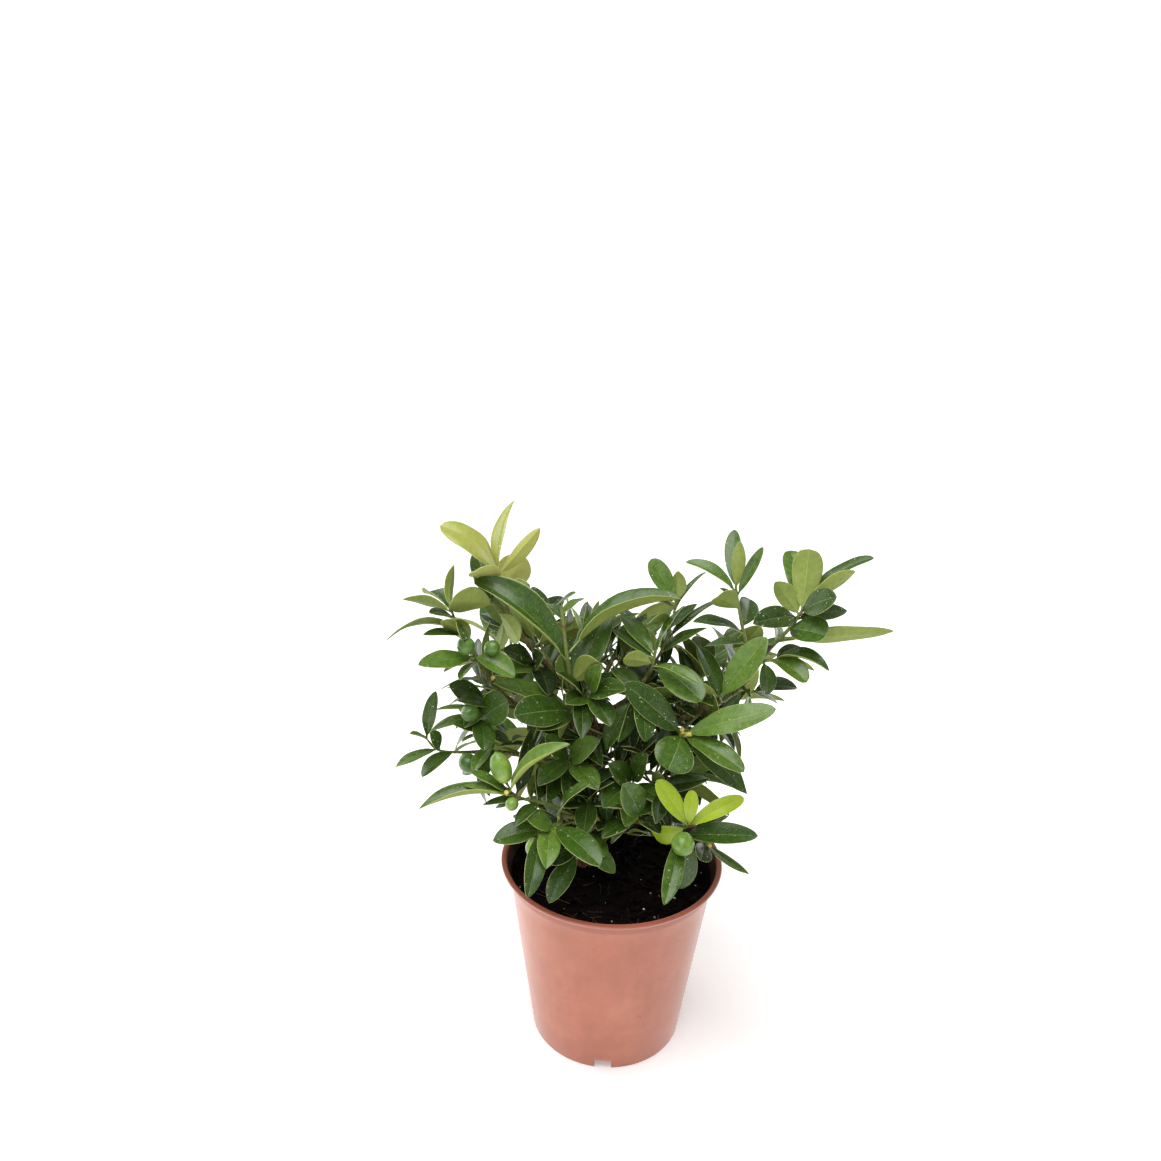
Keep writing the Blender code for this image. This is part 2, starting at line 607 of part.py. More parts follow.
    ], 3, []),
    "shoot_inner_right": ("right", 0.34, 1.4, [(668, 744, 16), (680, 760, 20)], [
        leaf(0.80, (718, 776), 44, 17, 35),
        leaf(0.95, (700, 806), 50, 16, 30),
        leaf(0.60, (642, 748), 40, 18, 40),
        leaf(0.50, (722, 756), 46, 18, 45),
    ], 0, []),
}

# Shoots that grow by rule at the back and in the depth of the bush: parent branch, where
# it leaves it, the stem's points and how many leaves it has
HIDDEN_SHOOTS = {
    "shoot_back_1": ("back_left", 1.0, [(508, 655, 92), (500, 638, 96)], 6),
    "shoot_back_3": ("back", 1.0, [(626, 642, 96), (632, 636, 104)], 6),
    "shoot_back_4": ("back", 0.66, [(600, 658, 64), (596, 650, 70)], 6),
    "shoot_back_5": ("back_right", 1.0, [(726, 672, 92), (738, 658, 96)], 6),
    "shoot_back_6": ("back_right", 0.64, [(700, 676, 62), (706, 660, 64)], 6),
    "shoot_back_7": ("low_back", 1.0, [(575, 734, 108), (570, 722, 116)], 6),
    "shoot_back_8": ("low_back", 0.55, [(622, 748, 62), (640, 738, 78)], 6),
    "shoot_back_9": ("back_left", 0.86, [(514, 694, 80), (496, 696, 90)], 6),
    "shoot_back_10": ("back_right", 0.86, [(720, 704, 78), (730, 700, 90)], 6),
    "shoot_back_11": ("low_back", 0.80, [(560, 762, 84), (546, 762, 94)], 6),
    "shoot_back_12": ("back_right", 0.35, [(660, 748, 56), (678, 752, 68)], 6),
    "shoot_inner_1": ("left_up", 0.62, [(538, 646, 38), (532, 636, 44)], 4),
    "shoot_inner_2": ("back", 0.42, [(618, 664, 36), (628, 648, 34)], 6),
    "shoot_inner_3": ("left", 0.45, [(530, 738, 18), (516, 744, 22)], 6),
    "shoot_inner_5": ("right", 0.45, [(696, 694, 28), (702, 676, 32)], 6),
    "shoot_inner_6": ("low_back", 0.30, [(580, 790, 32), (568, 800, 40)], 6),
    "shoot_inner_7": ("low_right", 1.0, [(676, 780, -16), (684, 776, -6)], 4),
}
RULE_SEED = 26
GOLDEN_ANGLE = math.radians(137.5)
RULE_LENGTH = (0.044, 0.062)
RULE_ASPECT = 0.40
RULE_DIVERGENCE = (math.radians(72), math.radians(36))

# The turns that a leaf is given in order, until one leaves it clear of everything else:
# degrees away from the camera, degrees across the picture and share of its length
TURNS = [(0, 0, 1.0)]
for size in (1.0, 0.86, 0.72):
    for depth, across in ((6, 0), (-6, 0), (12, 0), (-12, 0), (0, 5), (0, -5), (18, 0), (-18, 0),
                          (9, 6), (-9, 6), (9, -6), (-9, -6), (26, 0), (-26, 0), (0, 10), (0, -10),
                          (18, 10), (-18, 10), (18, -10), (-18, -10), (34, 0), (-34, 0),
                          (0, 18), (0, -18), (26, 18), (-26, 18), (26, -18), (-26, -18)):
        TURNS.append((depth, across, size))


# Pot

def build_pot():
    """A thin moulded pot: flared lip with a step under it, straight taper, a foot ring with
    notches, and a raised floor with drain holes round a solid middle."""
    lip_outer = [(NECK_RADIUS + LIP_STEP, NECK_HEIGHT + 0.0008), (NECK_RADIUS + LIP_STEP + 0.0012, 0.1578),
                 (LIP_RADIUS - 0.0006, POT_HEIGHT - 0.0016), (LIP_RADIUS, POT_HEIGHT - 0.0008),
                 (LIP_RADIUS - 0.0008, POT_HEIGHT)]
    lip_inner = [(LIP_RADIUS - LIP_BAND, POT_HEIGHT), (NECK_RADIUS - 0.0002, 0.1590),
                 (NECK_RADIUS - WALL, NECK_HEIGHT - 0.0020)]
    profile = [(0.0, 0.0), (BOSS_RADIUS, 0.0), (BOSS_RADIUS + 0.002, RECESS_HEIGHT),
               (FOOT_RADIUS - FOOT_RING, RECESS_HEIGHT), (FOOT_RADIUS - FOOT_RING + 0.001, 0.0),
               (FOOT_RADIUS - 0.0008, 0.0), (FOOT_RADIUS, 0.0010), (NECK_RADIUS, NECK_HEIGHT)]
    profile += lip_outer + lip_inner
    profile += [(FOOT_RADIUS + 0.0010 - WALL, FLOOR_TOP), (0.0, FLOOR_TOP)]
    pot = solid("pot", turned(profile, POT_SIDES), "pot_plastic")
    cutters = []
    for number in range(NOTCHES):
        turn = NOTCH_TURN + math.tau * number / NOTCHES
        cutters.append(box((FOOT_RADIUS - FOOT_RING - 0.004, -NOTCH_WIDTH / 2, -0.002),
                           (FOOT_RADIUS + 0.010, NOTCH_WIDTH / 2, NOTCH_HEIGHT), turn))
    for number in range(DRAIN_HOLES):
        turn = math.tau * (number + 0.5) / DRAIN_HOLES
        centre = Vector((DRAIN_CIRCLE * math.cos(turn), DRAIN_CIRCLE * math.sin(turn), 0))
        ends = [centre + Vector((0, 0, 0.002)), centre + Vector((0, 0, FLOOR_TOP + 0.004))]
        cutters.append(tube(ends, [DRAIN_RADIUS] * 2, 12))
    boolean(pot, cutters, "DIFFERENCE")
    return pot


def build_soil(trunk_at):
    """The soil fills the pot to a little below the lip, low at its edge, with a plain hole
    for the foot of the trunk."""
    slope = (NECK_RADIUS - FOOT_RADIUS - 0.0010) / (NECK_HEIGHT - 0.0020 - FLOOR_TOP)
    low = FLOOR_TOP + CLEARANCE
    foot = FOOT_RADIUS + 0.0010 - WALL - CLEARANCE * 1.4
    edge = SOIL_TOP - 0.0040
    profile = [(0.0, low), (foot, low), (foot + slope * (edge - low), edge),
               (0.0700, SOIL_TOP), (0.0400, SOIL_TOP + SOIL_CROWN), (0.0, SOIL_TOP + SOIL_CROWN)]
    soil = solid("soil", turned(profile, POT_SIDES), "soil")
    hole = [Vector((*trunk_at, SOIL_TOP - TRUNK_FOOT - CLEARANCE)), Vector((*trunk_at, SOIL_TOP + 0.02))]
    boolean(soil, [tube(hole, [TRUNK_RADIUS + CLEARANCE * 1.4] * 2, TRUNK_SIDES * 2)], "DIFFERENCE")
    return soil


# Wood

def plan_wood():
    """The path and end radii of the trunk and of each branch."""
    (x, y), points, radii = TRUNK
    foot = [Vector((x, y, SOIL_TOP - TRUNK_FOOT)), Vector((x, y, SOIL_TOP + 0.006))]
    rise = smooth_path([foot[1]] + [seen_at(*point) for point in points], 4)
    paths = {"trunk": ([foot[0]] + rise, (radii[0] * MM, radii[1] * MM))}
    for name, (parent, share, radii, points) in BRANCHES.items():
        parent_path = paths[parent][0]
        start = point_on(parent_path, share * path_length(parent_path))[0]
        path = smooth_path([start] + [seen_at(*point) for point in points], 3)
        paths[name] = (path, (radii[0] * MM, radii[1] * MM))
    return paths


def plan_shoot(wood, parent, share, points, radius):
    """A shoot's path from the axis of its branch, and how much of it is the woody stub."""
    path, radii = wood[parent]
    start = point_on(path, share * path_length(path))[0]
    route = smooth_path([start] + [seen_at(*point) for point in points], 4)
    room = radii[0] + (radii[1] - radii[0]) * share + radius * MM + STUB_ROOM
    beside = stretch(path, 0.0, path_length(path), 80)
    stub = STUB_LENGTH
    while share < 1.0 and min((point_on(route, stub)[0] - q).length for q in beside) < room:
        stub += STUB_ROOM / 2
    return {"path": route, "stub": stub, "radius": radius * MM}


def build_wood(wood, shoots):
    """The trunk, the branches and a stub for each shoot, joined in one solid."""
    path, (thick, thin) = wood["trunk"]
    radii = [thick + (thin - thick) * n / (len(path) - 1) for n in range(len(path))]
    trunk = solid("trunk_and_branches", tube(path, radii, TRUNK_SIDES), "bark")
    limbs = []
    for name, (path, (thick, thin)) in wood.items():
        if name == "trunk":
            continue
        count = max(3, round(path_length(path) / BRANCH_STEP))
        points = stretch(path, 0.0, path_length(path), count)
        radii = [thick + (thin - thick) * n / count for n in range(count + 1)]
        limbs.append(tube(points, radii, BRANCH_SIDES))
    for shoot in shoots.values():
        end = stretch(shoot["path"], 0.0, shoot["stub"], 1)
        limbs.append(tube(end, [shoot["radius"] * 1.12] * 2, SHOOT_SIDES))
    boolean(trunk, limbs, "UNION")
    return trunk


# Shoots, leaves and fruits

def tree_of(shape):
    return BVHTree.FromPolygons([tuple(v) for v in shape[0]], shape[1])


def bounds_of(shape):
    return [(min(v[i] for v in shape[0]), max(v[i] for v in shape[0])) for i in range(3)]


def near(one, two):
    return all(a[0] <= b[1] and b[0] <= a[1] for a, b in zip(one, two))


class Obstacles:
    """What is already in place, as shapes that a new leaf must stay clear of."""

    def __init__(self):
        self.items = []

    def add(self, owner, kind, shape):
        self.items.append((owner, kind, tree_of(shape), bounds_of(shape)))

    def clear(self, owner, whole, blade):
        """Whether a leaf keeps clear: all of it from other shoots, its blade from its own."""
        whole_tree, blade_tree = tree_of(whole), tree_of(blade)
        room = bounds_of(whole)
        for other, kind, tree, span in self.items:
            if not near(room, span):
                continue
            mine = other == owner
            if mine and kind == "foot":
                continue
            if (blade_tree if mine else whole_tree).overlap(tree):
                return False
        return True


def place_leaf(obstacles, owner, base, tip, normal, width, bow, stations=STATIONS):
    """Turns a leaf a little at a time until it is clear, and gives its shape, or None."""
    view = (base - CAMERA_AT).normalized()
    for depth, across, size in TURNS:
        chord = tip - base
        sideways = chord.cross(view).normalized()
        spin = Matrix.Rotation(math.radians(depth), 3, sideways)
        spin = Matrix.Rotation(math.radians(across), 3, view) @ spin
        new_tip = base + spin @ chord * size
        new_normal = spin @ normal
        measures = (base, new_tip, new_normal, width * size, bow, stations)
        whole = leaf_shape(*measures, grown=LEAF_GAP)
        blade = leaf_shape(*measures, grown=LEAF_GAP, first=2)
        if obstacles.clear(owner, whole, blade):
            shape = leaf_shape(*measures)
            obstacles.add(owner, "leaf", shape)
            return shape
    return None


def rule_leaves(stem, count, seed):
    """Leaves by the golden angle, flatter at the foot of the shoot than at its tip."""
    draw = random.Random(seed)
    leaves = []
    for number in range(count):
        share = (number + 0.6) / count
        base, along = place_on(stem, share)
        side = along.orthogonal().normalized()
        side = Matrix.Rotation(GOLDEN_ANGLE * number + draw.uniform(-0.4, 0.4), 3, along) @ side
        opening = RULE_DIVERGENCE[0] + (RULE_DIVERGENCE[1] - RULE_DIVERGENCE[0]) * share
        way = along * math.cos(opening) + side * math.sin(opening)
        way = (way + Vector((0, 0, draw.uniform(-0.25, 0.25)))).normalized()
        size = draw.uniform(*RULE_LENGTH)
        normal = along * 0.7 + Vector((0, 0, 0.6)) + side * draw.uniform(-0.2, 0.2)
        leaves.append((base, base + way * size, normal, size * RULE_ASPECT))
    return leaves


def build_plant():
    wood = plan_wood()
    shoots = {}
    for name, (parent, share, radius, points, _, _, _) in SHOOTS.items():
        shoots[name] = plan_shoot(wood, parent, share, points, radius)
    for name, (parent, share, points, _) in HIDDEN_SHOOTS.items():
        shoots[name] = plan_shoot(wood, parent, share, points, 1.4)
    trunk = build_wood(wood, shoots)
    pot = build_pot()
    soil = build_soil(TRUNK[0])

    obstacles = Obstacles()
    for piece in (trunk, pot, soil):
        mesh = piece.data
        shape = ([v.co.copy() for v in mesh.vertices], [tuple(p.vertices) for p in mesh.polygons])
        obstacles.add(piece.name, "solid", shape)

    stems, parts = {}, {}
    for name, shoot in shoots.items():
        length = path_length(shoot["path"])
        foot, stub_end = stretch(shoot["path"], 0.0, shoot["stub"], 1)
        stub_way = (stub_end - foot).normalized()
        count = max(2, round((length - shoot["stub"]) / SHOOT_STEP))
        shoot["stem"] = stretch(shoot["path"], shoot["stub"], length, count)
        shoot["stem"][0] = stub_end + stub_way * CLEARANCE
        radii = [shoot["radius"] * (1 - 0.35 * n / count) for n in range(count + 1)]
        stems[name] = tube(shoot["stem"], radii, SHOOT_SIDES, stub_way)
        parts[name] = []
        obstacles.add(name, "stem", stems[name])

    for name, (_, _, _, _, _, _, fruits) in SHOOTS.items():
        for number, row in enumerate(fruits, 1):
            base = place_on(shoots[name]["stem"], row["at"])[0]
            middle = seen_at(*row["middle"], row["behind"])
            along = (middle - base).normalized()
            pole = middle - along * row["length"] / 2
            ball = fruit_shape(pole, along, row["width"] / 2, row["length"])
            stalk_end = pole - along * CLEARANCE
            stalk = tube([base, base.lerp(stalk_end, 0.75), stalk_end], [0.0009, 0.0009, 0.0019],
                         SHOOT_SIDES)
            fruit_name = name.replace("shoot_", "fruit_") + f"_{number}"
            solid(fruit_name, ball, "fruit")
            parts[name].append(stalk)
            obstacles.add(fruit_name, "fruit", ball)
            obstacles.add(name, "stalk", stalk)

    seen = [(name, row) for name, shoot in SHOOTS.items() for row in shoot[4]]
    seen.sort(key=lambda item: -abs(item[1]["length"]) * item[1]["width"])
    left_out = []
    for name, row in seen:
        base = place_on(shoots[name]["stem"], row["at"])[0]
        tip = tip_seen_at(base, row["tip"], row["length"])
        normal = facing(base, tip, row["turn"])
        shape = place_leaf(obstacles, name, base, tip, normal, row["width"], row["bow"])
        if shape is None:
            left_out.append((name, row["tip"]))
        else:
            parts[name].append(shape)

    for name in shoots:
        count = SHOOTS[name][5] if name in SHOOTS else HIDDEN_SHOOTS[name][3]
        seed = RULE_SEED + sum(map(ord, name))
        for base, tip, normal, width in rule_leaves(shoots[name]["stem"], count, seed):
            shape = place_leaf(obstacles, name, base, tip, normal, width, BLADE_BOW,
                               PLAIN_STATIONS)
            if shape is None:
                left_out.append((name, "by rule"))
            else:
                parts[name].append(shape)

    for name in shoots:
        colour = "flush_leaf" if name.startswith("flush") else "leaf"
        shoot = solid(name, stems[name], colour)
        boolean(shoot, parts[name], "UNION")
    return left_out


LEFT_OUT = build_plant()
for piece in bpy.context.scene.objects:
    piece.data.shade_smooth()
    piece.data.set_sharp_from_angle(angle=math.radians(35))
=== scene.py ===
import functools
import math
import random
from itertools import combinations

import bmesh
import bpy
import numpy as np
from mathutils import Matrix, Vector
from mathutils.bvhtree import BVHTree
from mathutils.kdtree import KDTree


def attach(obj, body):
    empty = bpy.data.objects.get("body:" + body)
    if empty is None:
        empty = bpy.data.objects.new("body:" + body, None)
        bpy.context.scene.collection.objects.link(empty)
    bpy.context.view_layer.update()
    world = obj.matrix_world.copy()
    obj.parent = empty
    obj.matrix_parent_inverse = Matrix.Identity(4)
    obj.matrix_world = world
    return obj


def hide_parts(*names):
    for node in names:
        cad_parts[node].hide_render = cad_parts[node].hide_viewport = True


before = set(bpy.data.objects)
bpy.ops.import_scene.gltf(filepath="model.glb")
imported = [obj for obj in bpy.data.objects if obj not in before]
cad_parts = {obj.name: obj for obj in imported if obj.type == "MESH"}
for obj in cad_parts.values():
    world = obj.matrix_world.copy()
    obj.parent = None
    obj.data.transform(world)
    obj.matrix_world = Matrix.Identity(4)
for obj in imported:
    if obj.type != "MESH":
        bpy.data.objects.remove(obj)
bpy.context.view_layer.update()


# POT
# A 19 cm nursery pot, injection moulded in terracotta-coloured polypropylene, 2 mm thick. The mould
# leaves a smooth, slightly waxy face, a flared lip with a step under it, a raised floor with drain
# holes and four notches round the foot. Handling has scuffed it.
MM = 0.001
POT_SIDES, WALL_STEPS = 144, 12
# Its section, as radius and height in mm: under the floor and round the foot, the top of the wall,
# and over the lip and down to the floor inside
FOOT_SECTION = [(18.0, 0.0), (20.0, 9.2), (60.0, 9.2), (61.0, 0.0), (65.2, 0.0), (65.8, 0.4), (66.0, 1.2)]
NECK = (87.4, 155.0)
INSIDE_TOP, INSIDE_FOOT = (85.4, 153.0), (65.0, 11.5)
LIP_SECTION = [(89.0, 155.1), (89.6, 155.6), (89.7, 156.6), (89.8, 159.8), (91.0, 160.8), (94.0, 164.0),
               (94.8, 165.2), (95.0, 166.1), (94.6, 166.8), (93.8, 167.0), (91.6, 167.0), (90.4, 166.4),
               (87.2, 159.2), (86.2, 156.5), INSIDE_TOP, INSIDE_FOOT, (1.5, 11.5)]
NOTCHES, NOTCH_SIZE, NOTCH_TURN = 4, (0.0200, 0.0145, 0.0125), math.radians(-93.0)
NOTCH_CIRCLE, NOTCH_MIDDLE = 0.0680, 0.00225
DRAIN_HOLES, DRAIN_RADIUS, DRAIN_CIRCLE, DRAIN_CUT = 6, 0.0045, 0.0400, 0.0200
EDGE_BEVEL = 0.0003


def rgb(code):
    """An sRGB hex colour, or a plain level of grey, as the linear RGBA that a shader takes."""
    if isinstance(code, float):
        return [code, code, code, 1.0]
    parts = [int(code[i:i + 2], 16) / 255 for i in (1, 3, 5)]
    return [c / 12.92 if c <= 0.04045 else ((c + 0.055) / 1.055) ** 2.4 for c in parts] + [1.0]


def fill(node, inputs):
    """Sets a node's inputs: to a hex colour, a plain value, or another node's output."""
    for key, value in inputs.items():
        if isinstance(value, bpy.types.NodeSocket):
            node.id_data.links.new(value, node.inputs[key])
        else:
            node.inputs[key].default_value = rgb(value) if isinstance(value, str) else value


def add_node(tree, kind, inputs=None, stops=None, out=0, **settings):
    """Adds a shader node with its settings and links, and returns one of its outputs. Stops are the
    places and colours of a ramp."""
    node = tree.nodes.new("ShaderNode" + kind)
    for key, value in settings.items():
        setattr(node, key, value)
    fill(node, inputs or {})
    if stops:
        ramp = node.color_ramp.elements
        ramp.remove(ramp[1])
        ramp[0].position, ramp[0].color = stops[0][0], rgb(stops[0][1])
        for place, colour in stops[1:]:
            ramp.new(place).color = rgb(colour)
    return node.outputs[out]


def new_finish(name, **values):
    """A material, its Principled shader with its own values set, and the means to add nodes to it."""
    material = bpy.data.materials.new(name)
    material.use_nodes = True
    shader = material.node_tree.nodes["Principled BSDF"]
    fill(shader, {key.replace("_", " "): value for key, value in values.items()})
    return material, shader, functools.partial(add_node, material.node_tree)


def take(*pieces):
    """Makes these pieces the only ones selected, and the first one active."""
    if bpy.context.mode != "OBJECT":
        bpy.ops.object.mode_set(mode="OBJECT")
    bpy.ops.object.select_all(action="DESELECT")
    for piece in pieces:
        piece.select_set(True)
    if pieces:
        bpy.context.view_layer.objects.active = pieces[0]


def fresh(add_primitive, name, **settings):
    """A new piece made from a primitive, with its place put into its mesh."""
    take()
    add_primitive(**settings)
    piece = bpy.context.object
    piece.name = name
    bpy.ops.object.transform_apply(location=True, rotation=True, scale=True)
    return piece


def modify(piece, kind, **settings):
    """Gives a piece a modifier with its settings, and applies it."""
    modifier = piece.modifiers.new(kind.lower(), kind)
    for key, value in settings.items():
        setattr(modifier, key, value)
    take(piece)
    bpy.ops.object.modifier_apply(modifier=modifier.name)


def discard(*pieces):
    for piece in pieces:
        bpy.data.objects.remove(piece, do_unlink=True)


def round_axis(reach, turn, height):
    """The point at a reach and a turn from the pot's axis, at a height."""
    return reach * math.cos(turn), reach * math.sin(turn), height


def drawn_up(name, sides, rings):
    """A round piece: a disc drawn out from ring to ring, each a radius and a height, and closed."""
    radius, height = rings[0]
    piece = fresh(bpy.ops.mesh.primitive_circle_add, name, vertices=sides, radius=radius,
                  fill_type="NGON", location=(0, 0, height))
    bpy.ops.object.mode_set(mode="EDIT")
    bpy.ops.mesh.select_mode(type="EDGE")
    bpy.ops.mesh.select_all(action="SELECT")
    bpy.ops.mesh.region_to_loop()
    for next_radius, next_height in rings[1:]:
        bpy.ops.mesh.extrude_edges_move(TRANSFORM_OT_translate={"value": (0, 0, next_height - height)})
        bpy.ops.transform.resize(value=(next_radius / radius, next_radius / radius, 1.0),
                                 center_override=(0, 0, next_height))
        radius, height = next_radius, next_height
    bpy.ops.mesh.edge_face_add()
    bpy.ops.mesh.select_all(action="SELECT")
    bpy.ops.mesh.normals_make_consistent(inside=False)
    bpy.ops.object.mode_set(mode="OBJECT")
    return piece


def pot_finish():
    # Polypropylene from a polished mould: a soft broad sheen, faint clouding of the pigment, flow streaks
    # down the wall, small red scuffs and pale rubs. The lip band is painted darker, as painted shade.
    material, shader, add = new_finish("moulded_terracotta_polypropylene", IOR=1.49, Coat_Weight=0.75,
                                       Coat_Roughness=0.18)
    spot = add("TexCoord", out="Object")
    height = add("SeparateXYZ", {"Vector": spot}, out="Z")
    cloud = add("TexNoise", {"Vector": spot, "Scale": 22.0, "Detail": 4.0, "Roughness": 0.6})
    colour = add("ValToRGB", {"Fac": cloud}, [(0.30, "#A55535"), (0.52, "#B15F3E"), (0.75, "#BC6F4F")])
    streak = add("Mapping", {"Vector": spot, "Scale": (120.0, 120.0, 12.0)})
    streak = add("TexNoise", {"Vector": streak, "Scale": 1.0, "Detail": 3.0})
    streak = add("ValToRGB", {"Fac": streak}, [(0.40, 0.46), (0.66, 0.56)])
    colour = add("Mix", {0: 0.25, 6: colour, 7: streak}, out=2, data_type="RGBA", blend_type="OVERLAY")
    rub = add("Mapping", {"Vector": spot, "Scale": (150.0, 150.0, 900.0)})
    rub = add("TexNoise", {"Vector": rub, "Scale": 1.0, "Detail": 2.0})
    rub = add("ValToRGB", {"Fac": rub}, [(0.69, 0.0), (0.78, 0.4)])
    nick = add("TexNoise", {"Vector": spot, "Scale": 150.0, "Detail": 2.0, "Roughness": 0.4})
    nick = add("ValToRGB", {"Fac": nick}, [(0.735, 0.0), (0.77, 0.8)])
    # Soil has stuck to the foot in dark flecks
    low = add("MapRange", {"Value": height, "From Min": 0.030, "From Max": 0.004, "To Max": 0.09})
    fleck = add("TexNoise", {"Vector": spot, "Scale": 170.0, "Detail": 3.0})
    fleck = add("Math", {0: fleck, 1: low}, operation="ADD")
    fleck = add("ValToRGB", {"Fac": fleck}, [(0.755, 0.0), (0.785, 0.85)])
    # Painted shade: the lip is painted darker from the step under it up to its top.
    lip = add("MapRange", {"Value": height, "From Min": 0.1545, "From Max": 0.1610})
    # Painted shade inside the rim: the inner wall, where the surface faces the pot's axis, is painted dark
    # below its top edge.
    level = add("VectorMath", {0: spot, 1: (1.0, 1.0, 0.0)}, operation="MULTIPLY")
    facing = add("VectorMath", {0: add("TexCoord", out="Normal"), 1: level}, out="Value",
                 operation="DOT_PRODUCT")
    inner = add("MapRange", {"Value": facing, "From Min": -0.020, "From Max": -0.050})
    stain_and_shade = add("MapRange", {"Value": height, "From Min": 0.1664, "From Max": 0.1636, "To Max": 0.92})
    stain_and_shade = add("Math", {0: stain_and_shade, 1: inner}, operation="MULTIPLY")
    for share, hue in ((rub, "#CE937C"), (nick, "#9A4A34"), (fleck, "#4E2C22"), (lip, "#A55A46"),
                       (stain_and_shade, "#2E1710")):
        colour = add("Mix", {0: share, 6: colour, 7: hue}, out=2, data_type="RGBA")
    rough = add("MapRange", {"Value": cloud, "To Min": 0.34, "To Max": 0.50})
    grain = add("TexNoise", {"Vector": spot, "Scale": 900.0, "Detail": 2.0})
    bump = add("Bump", {"Height": grain, "Strength": 0.10, "Distance": 0.0002})
    fill(shader, {"Base Color": colour, "Roughness": rough, "Normal": bump})
    return material


def mould_pot():
    """The wall is drawn out from a disc under the boss, over the lip and back to the floor, then
    notched, drilled and softened along its edges."""
    wall = np.linspace(FOOT_SECTION[-1], NECK, WALL_STEPS + 1)[1:]
    pot = drawn_up("pot_moulding", POT_SIDES,
                   [(radius * MM, height * MM) for radius, height in (*FOOT_SECTION, *wall, *LIP_SECTION)])
    cutters = []
    for number in range(NOTCHES):
        take()
        turn = NOTCH_TURN + math.tau * number / NOTCHES
        bpy.ops.mesh.primitive_cube_add(size=1.0, location=round_axis(NOTCH_CIRCLE, turn, NOTCH_MIDDLE),
                                        rotation=(0, 0, turn), scale=NOTCH_SIZE)
        cutters.append(bpy.context.object)
    for number in range(DRAIN_HOLES):
        take()
        turn = math.tau * (number + 0.5) / DRAIN_HOLES
        bpy.ops.mesh.primitive_cylinder_add(vertices=24, radius=DRAIN_RADIUS, depth=DRAIN_CUT,
                                            location=round_axis(DRAIN_CIRCLE, turn, DRAIN_CUT / 2))
        cutters.append(bpy.context.object)
    for cutter in cutters:
        modify(pot, "BOOLEAN", operation="DIFFERENCE", solver="EXACT", object=cutter)
    discard(*cutters)
    modify(pot, "BEVEL", width=EDGE_BEVEL, segments=2, limit_method="ANGLE", angle_limit=math.radians(50))
    bpy.ops.object.shade_smooth_by_angle(angle=math.radians(35))
    pot.data.materials.append(pot_finish())
    return pot


pot = mould_pot()
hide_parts("pot")
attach(pot, "root")


# SOIL
# Dark, wet peat compost that fills the pot to 14 mm below the lip, lumpy and a little lower round its
# edge. Shreds of coir and bark, and a few white grains of perlite, were mixed in with it.
SOIL_TOP, SOIL_CROWN, SOIL_EDGE = 0.1530, 0.0015, 0.1552
SOIL_FOOT, SOIL_LOW, FLAT_REACH = 0.0646, 0.0118, 0.0700
SOIL_SIDES, SIDE_STEPS, TOP_STEPS = 120, 6, 36
SOIL_SEED, SCATTER_REACH = 7, 0.083
LUMPS = ((0.018, 0.0040), (0.006, 0.0030), (0.0022, 0.0014))


def soil_finish():
    # Wet peat: almost black, with red-brown crumbs and a few damp glints.
    material, shader, add = new_finish("wet_peat_compost", IOR=1.33, Specular_IOR_Level=0.12)
    spot = add("TexCoord", out="Object")
    crumb = add("TexNoise", {"Vector": spot, "Scale": 420.0, "Detail": 6.0, "Roughness": 0.7})
    tint = add("ValToRGB", {"Fac": crumb}, [(0.40, "#030101"), (0.56, "#0B0302"), (0.68, "#240C08"),
                                            (0.80, "#4A241A")])
    damp = add("TexNoise", {"Vector": spot, "Scale": 60.0, "Detail": 2.0})
    rough = add("MapRange", {"Value": damp, "From Min": 0.35, "From Max": 0.65, "To Min": 0.62,
                             "To Max": 0.95})
    bump = add("Bump", {"Height": crumb, "Strength": 0.8, "Distance": 0.0012})
    fill(shader, {"Base Color": tint, "Roughness": rough, "Normal": bump})
    return material


def shape_soil():
    """A plug that fills the pot. Its top is drawn in ring by ring, then roughened."""
    slope = (INSIDE_TOP[0] - INSIDE_FOOT[0]) / (INSIDE_TOP[1] - INSIDE_FOOT[1])
    depth = SOIL_EDGE - SOIL_LOW
    rings = [(SOIL_FOOT + slope * depth * k / SIDE_STEPS, SOIL_LOW + depth * k / SIDE_STEPS)
             for k in range(SIDE_STEPS + 1)]
    rim = rings[-1][0]
    for k in range(1, TOP_STEPS):
        radius = rim * (1 - k / TOP_STEPS) + MM
        share = min(1.0, (rim - radius) / (rim - FLAT_REACH))
        rings.append((radius, SOIL_EDGE + (SOIL_TOP + SOIL_CROWN * (1 - radius / rim) - SOIL_EDGE) * share))
    soil = drawn_up("peat_compost", SOIL_SIDES, rings)
    top = soil.vertex_groups.new(name="top")
    for vertex in soil.data.vertices:
        if vertex.co.z > SOIL_EDGE - 0.001:
            top.add([vertex.index], min(1.0, 4.0 * (1.03 - vertex.co.xy.length / rim)), "REPLACE")
    for size, strength in LUMPS:
        lumps = bpy.data.textures.new("lumps", "CLOUDS")
        lumps.noise_scale, lumps.noise_depth = size, 2
        modify(soil, "DISPLACE", texture=lumps, vertex_group="top", direction="Z", strength=strength,
               mid_level=0.5, texture_coords="LOCAL")
    bpy.ops.object.shade_smooth_by_angle(angle=math.radians(60))
    soil.data.materials.append(soil_finish())
    return soil


